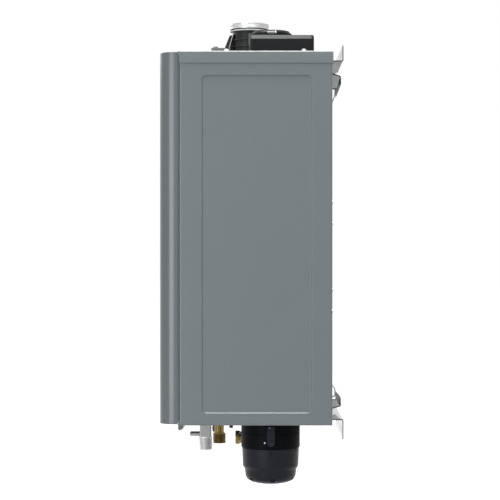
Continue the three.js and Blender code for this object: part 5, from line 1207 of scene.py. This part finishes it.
# Canister: moulded black bowl that twists off an eighth of a turn. It tapers in steps, with grip
# notches round its foot, a slot under the latch and two slots for a wrench.
bowl_top, bowl_radius = -755.3, 54.4
grip_low, grip_high = -823.0, -812.0
grip_half, grip_radius, grip_first = 3.5, 39.0, 5
slot_half, slot_radius = 1.5, 52.6
spigot, groove, bowl_inner = 49.4, 48.1, 45.0
latch_slot, wrench_slot = -767.0, -762.0
notches = [(0.0, latch_slot), (62.0, wrench_slot), (242.0, wrench_slot)]


def strip_at(turn, radius, degrees, half):
    """True in a strip of a half width that runs out from the axis at an angle."""
    off = (turn - np.radians(degrees) + np.pi) % (2 * np.pi) - np.pi
    return (np.abs(radius * np.sin(off)) < half) & (np.abs(off) < 1)


def notched(turn, height, radius):
    """The bowl's radius, cut back to 39 mm in six grip notches and by 1.8 mm in the three slots: each
    is a strip round its own angle."""
    outer = radius.copy()
    for k in range(6):
        inside = strip_at(turn, radius, grip_first + 60 * k, grip_half)
        inside &= (height > grip_low) & (height < grip_high)
        outer = np.where(inside, np.minimum(outer, grip_radius), outer)
    for degrees, low in notches:
        inside = strip_at(turn, radius, degrees, slot_half) & (radius > 50)
        inside &= (height > low) & (height < bowl_top + 1)
        outer = np.where(inside, slot_radius, outer)
    return outer


bowl_line = softened(
    [
        (0, -825.7), (18.0, -824.6), (36.4, -820.9), (44.5, -816.0), (48.0, -809.4), (49.2, -797.0),
        (53.1, -790.3), (bowl_radius, -756.3),
    ],
    [0, 6, 6, 3, 2, 1.2, 1.2, 0], 6, closed=False,
)
edges = np.array([grip_low, grip_high, latch_slot, wrench_slot])
extra = np.concatenate((
    edges.repeat(2) + np.tile([-0.12, 0.12], len(edges)), np.linspace(-821.5, -799, 16),
))
extra_rows = np.column_stack((np.interp(extra, bowl_line[:, 1], bowl_line[:, 0]), extra))
bowl_outside = np.concatenate((bowl_line, extra_rows))
bowl_outside = bowl_outside[np.argsort(bowl_outside[:, 1], kind="stable")]
bowl_rest = softened(
    [
        (bowl_radius, -755.9), (53.8, bowl_top), (spigot, bowl_top), (spigot, -731.5),
        (groove, -731.5), (groove, -728.5), (spigot, -728.5), (spigot, -724.0), (bowl_inner, -724.0),
        (bowl_inner, -797.0), (40.0, -809.4), (0, -814.4),
    ],
    0.3, 3, closed=False,
)
piece(
    "canister_bowl",
    [turned(np.concatenate((bowl_outside, bowl_rest)), filter_axis, steps=540, shape=notched)],
    "canister", canister_black, ["filter_bowl"],
)
dress("bowl_o_ring", moulded_rubber, 0)
sleeve_white = finish(
    "sleeve_white", (0.6, 0.6, 0.56), (0.7, 0.7, 0.66), 0.004, 0.0006, 0.00008, (0.6, 0.8),
)
dress("media_cartridge", sleeve_white, 0.6)

# Control panel in the cover: a moulded black bezel with a smoked window and four pale buttons, each
# over a switch on the board behind
bezel_black = finish(
    "bezel_black", (0.02, 0.021, 0.023), (0.026, 0.027, 0.029), 0.02, 0.0005, 0.00004, (0.45, 0.6),
    edge=(0.05, 0.05, 0.053), specular=0.35,
)
smoked = finish(
    "smoked_window", (0.004, 0.005, 0.006), (0.006, 0.007, 0.008), 0.05, 0.004, 0.0, (0.05, 0.09),
)
lacquer = finish(
    "board_lacquer", (0.01, 0.075, 0.03), (0.02, 0.11, 0.045), 0.008, 0.0008, 0.00003, (0.25, 0.4),
)
dress("control_bezel", bezel_black, 0.5)
dress("display_window", smoked, 0.3)
dress("control_board", lacquer, 0.2)
button_pale = finish(
    "button_pale", (0.5, 0.51, 0.5), (0.56, 0.57, 0.56), 0.02, 0.0005, 0.00001, (0.35, 0.48),
)
button_radius = 7.0
bezel_face = -349.7
dish_radius, dish_deep, key_flange = 5.6, 0.5, 8.4
buttons = {"power": (-54, 10.5), "menu": (-54, -10.5), "up": (54, 10.5), "down": (54, -10.5)}
dish = [
    (r, bezel_face + 0.55 - dish_deep * (r / dish_radius) ** 2) for r in np.linspace(0, dish_radius, 10)
]
key_rest = softened(
    [
        (6.3, bezel_face + 0.02), (button_radius, bezel_face + 0.8),
        (button_radius, bezel_face + 2.7), (key_flange, bezel_face + 2.7),
        (key_flange, bezel_face + 3.9), (0, bezel_face + 3.9),
    ],
    0.5, closed=False,
)
panel_level = -589.5
for name, (x, rise) in buttons.items():
    key = turned(np.concatenate((dish, key_rest)), (x, panel_level + rise), "y", 64)
    piece(f"{name}_key", [key], f"{name}_button", button_pale, [f"{name}_button"])

# Heat exchangers, burner and mixing hood inside the case: a copper finned block over a stainless
# condensing box, a pierced burner plate and a die-cast hood
copper_sheet = finish(
    "copper_sheet", (0.5, 0.2, 0.1), (0.62, 0.29, 0.16), 0.05, 0.0008, 0.00003, (0.25, 0.45),
    metallic=1.0, edge=(0.8, 0.45, 0.3),
)
stainless = finish(
    "stainless_sheet", (0.4, 0.41, 0.42), (0.5, 0.51, 0.52), 0.05, 0.0005, 0.00002, (0.25, 0.42),
    metallic=1.0, stretch=(1, 1, 5),
)
cast = finish(
    "die_casting", (0.42, 0.43, 0.43), (0.52, 0.53, 0.53), 0.02, 0.0012, 0.00012, (0.4, 0.6),
    metallic=0.9, edge=(0.65, 0.65, 0.65),
)
dress("primary_exchanger", copper_sheet, 0.6)
dress("secondary_exchanger", stainless, 0.6)
dress("burner", stainless, 0.4)
dress("mixing_hood", cast, 0.8)

# Flue duct: black plastic tube that carries the cooled exhaust from the condensing box up to the
# socket in the cap
duct_black = finish(
    "duct_black", (0.03, 0.03, 0.031), (0.04, 0.04, 0.041), 0.03, 0.0006, 0.00003, (0.45, 0.6),
)
dress("flue_duct", duct_black, 0.4)

# Blower: die-cast spiral housing under the hood, a moulded wheel with curved blades, its motor and the
# moulded throat where gas is drawn into the air
dress("blower_housing", cast, 0.6)
dress("blower_wheel", duct_black, 0.2)
dress("blower_motor", duct_black, 0.8)
dress("mixing_throat", duct_black, 0.5)

# Gas line: the die-cast gas valve and a pipe of drawn and plated steel that joins it to the end under
# the case
plated_pipe = finish(
    "plated_pipe", (0.36, 0.37, 0.38), (0.46, 0.47, 0.48), 0.04, 0.0005, 0.00001, (0.25, 0.4),
    metallic=1.0,
)
dress("gas_valve", cast, 0.6)
dress("gas_pipe", plated_pipe, 0.2)

# Water line: drawn copper pipes from the two ends to the canister and the exchangers, and the brass
# body of the flow servo
drawn_copper = finish(
    "drawn_copper", (0.5, 0.2, 0.1), (0.6, 0.27, 0.15), 0.05, 0.0006, 0.00001, (0.2, 0.36),
    metallic=1.0,
)
for pipe in ("cold_pipe", "filtered_pipe", "hot_pipe"):
    dress(pipe, drawn_copper, 0.2)
dress("flow_servo", machined_brass, 0.5)

# Condensate trap of black plastic, glazed ceramic igniter, and the moulded control box with its
# lacquered main board
glazed = finish(
    "glazed_ceramic", (0.66, 0.63, 0.57), (0.74, 0.72, 0.66), 0.02, 0.002, 0.00001, (0.1, 0.2),
)
dress("condensate_trap", spout_black, 0.8)
dress("igniter", glazed, 0.3)
dress("control_tray", bezel_black, 0.6)
dress("main_board", lacquer, 0.2)
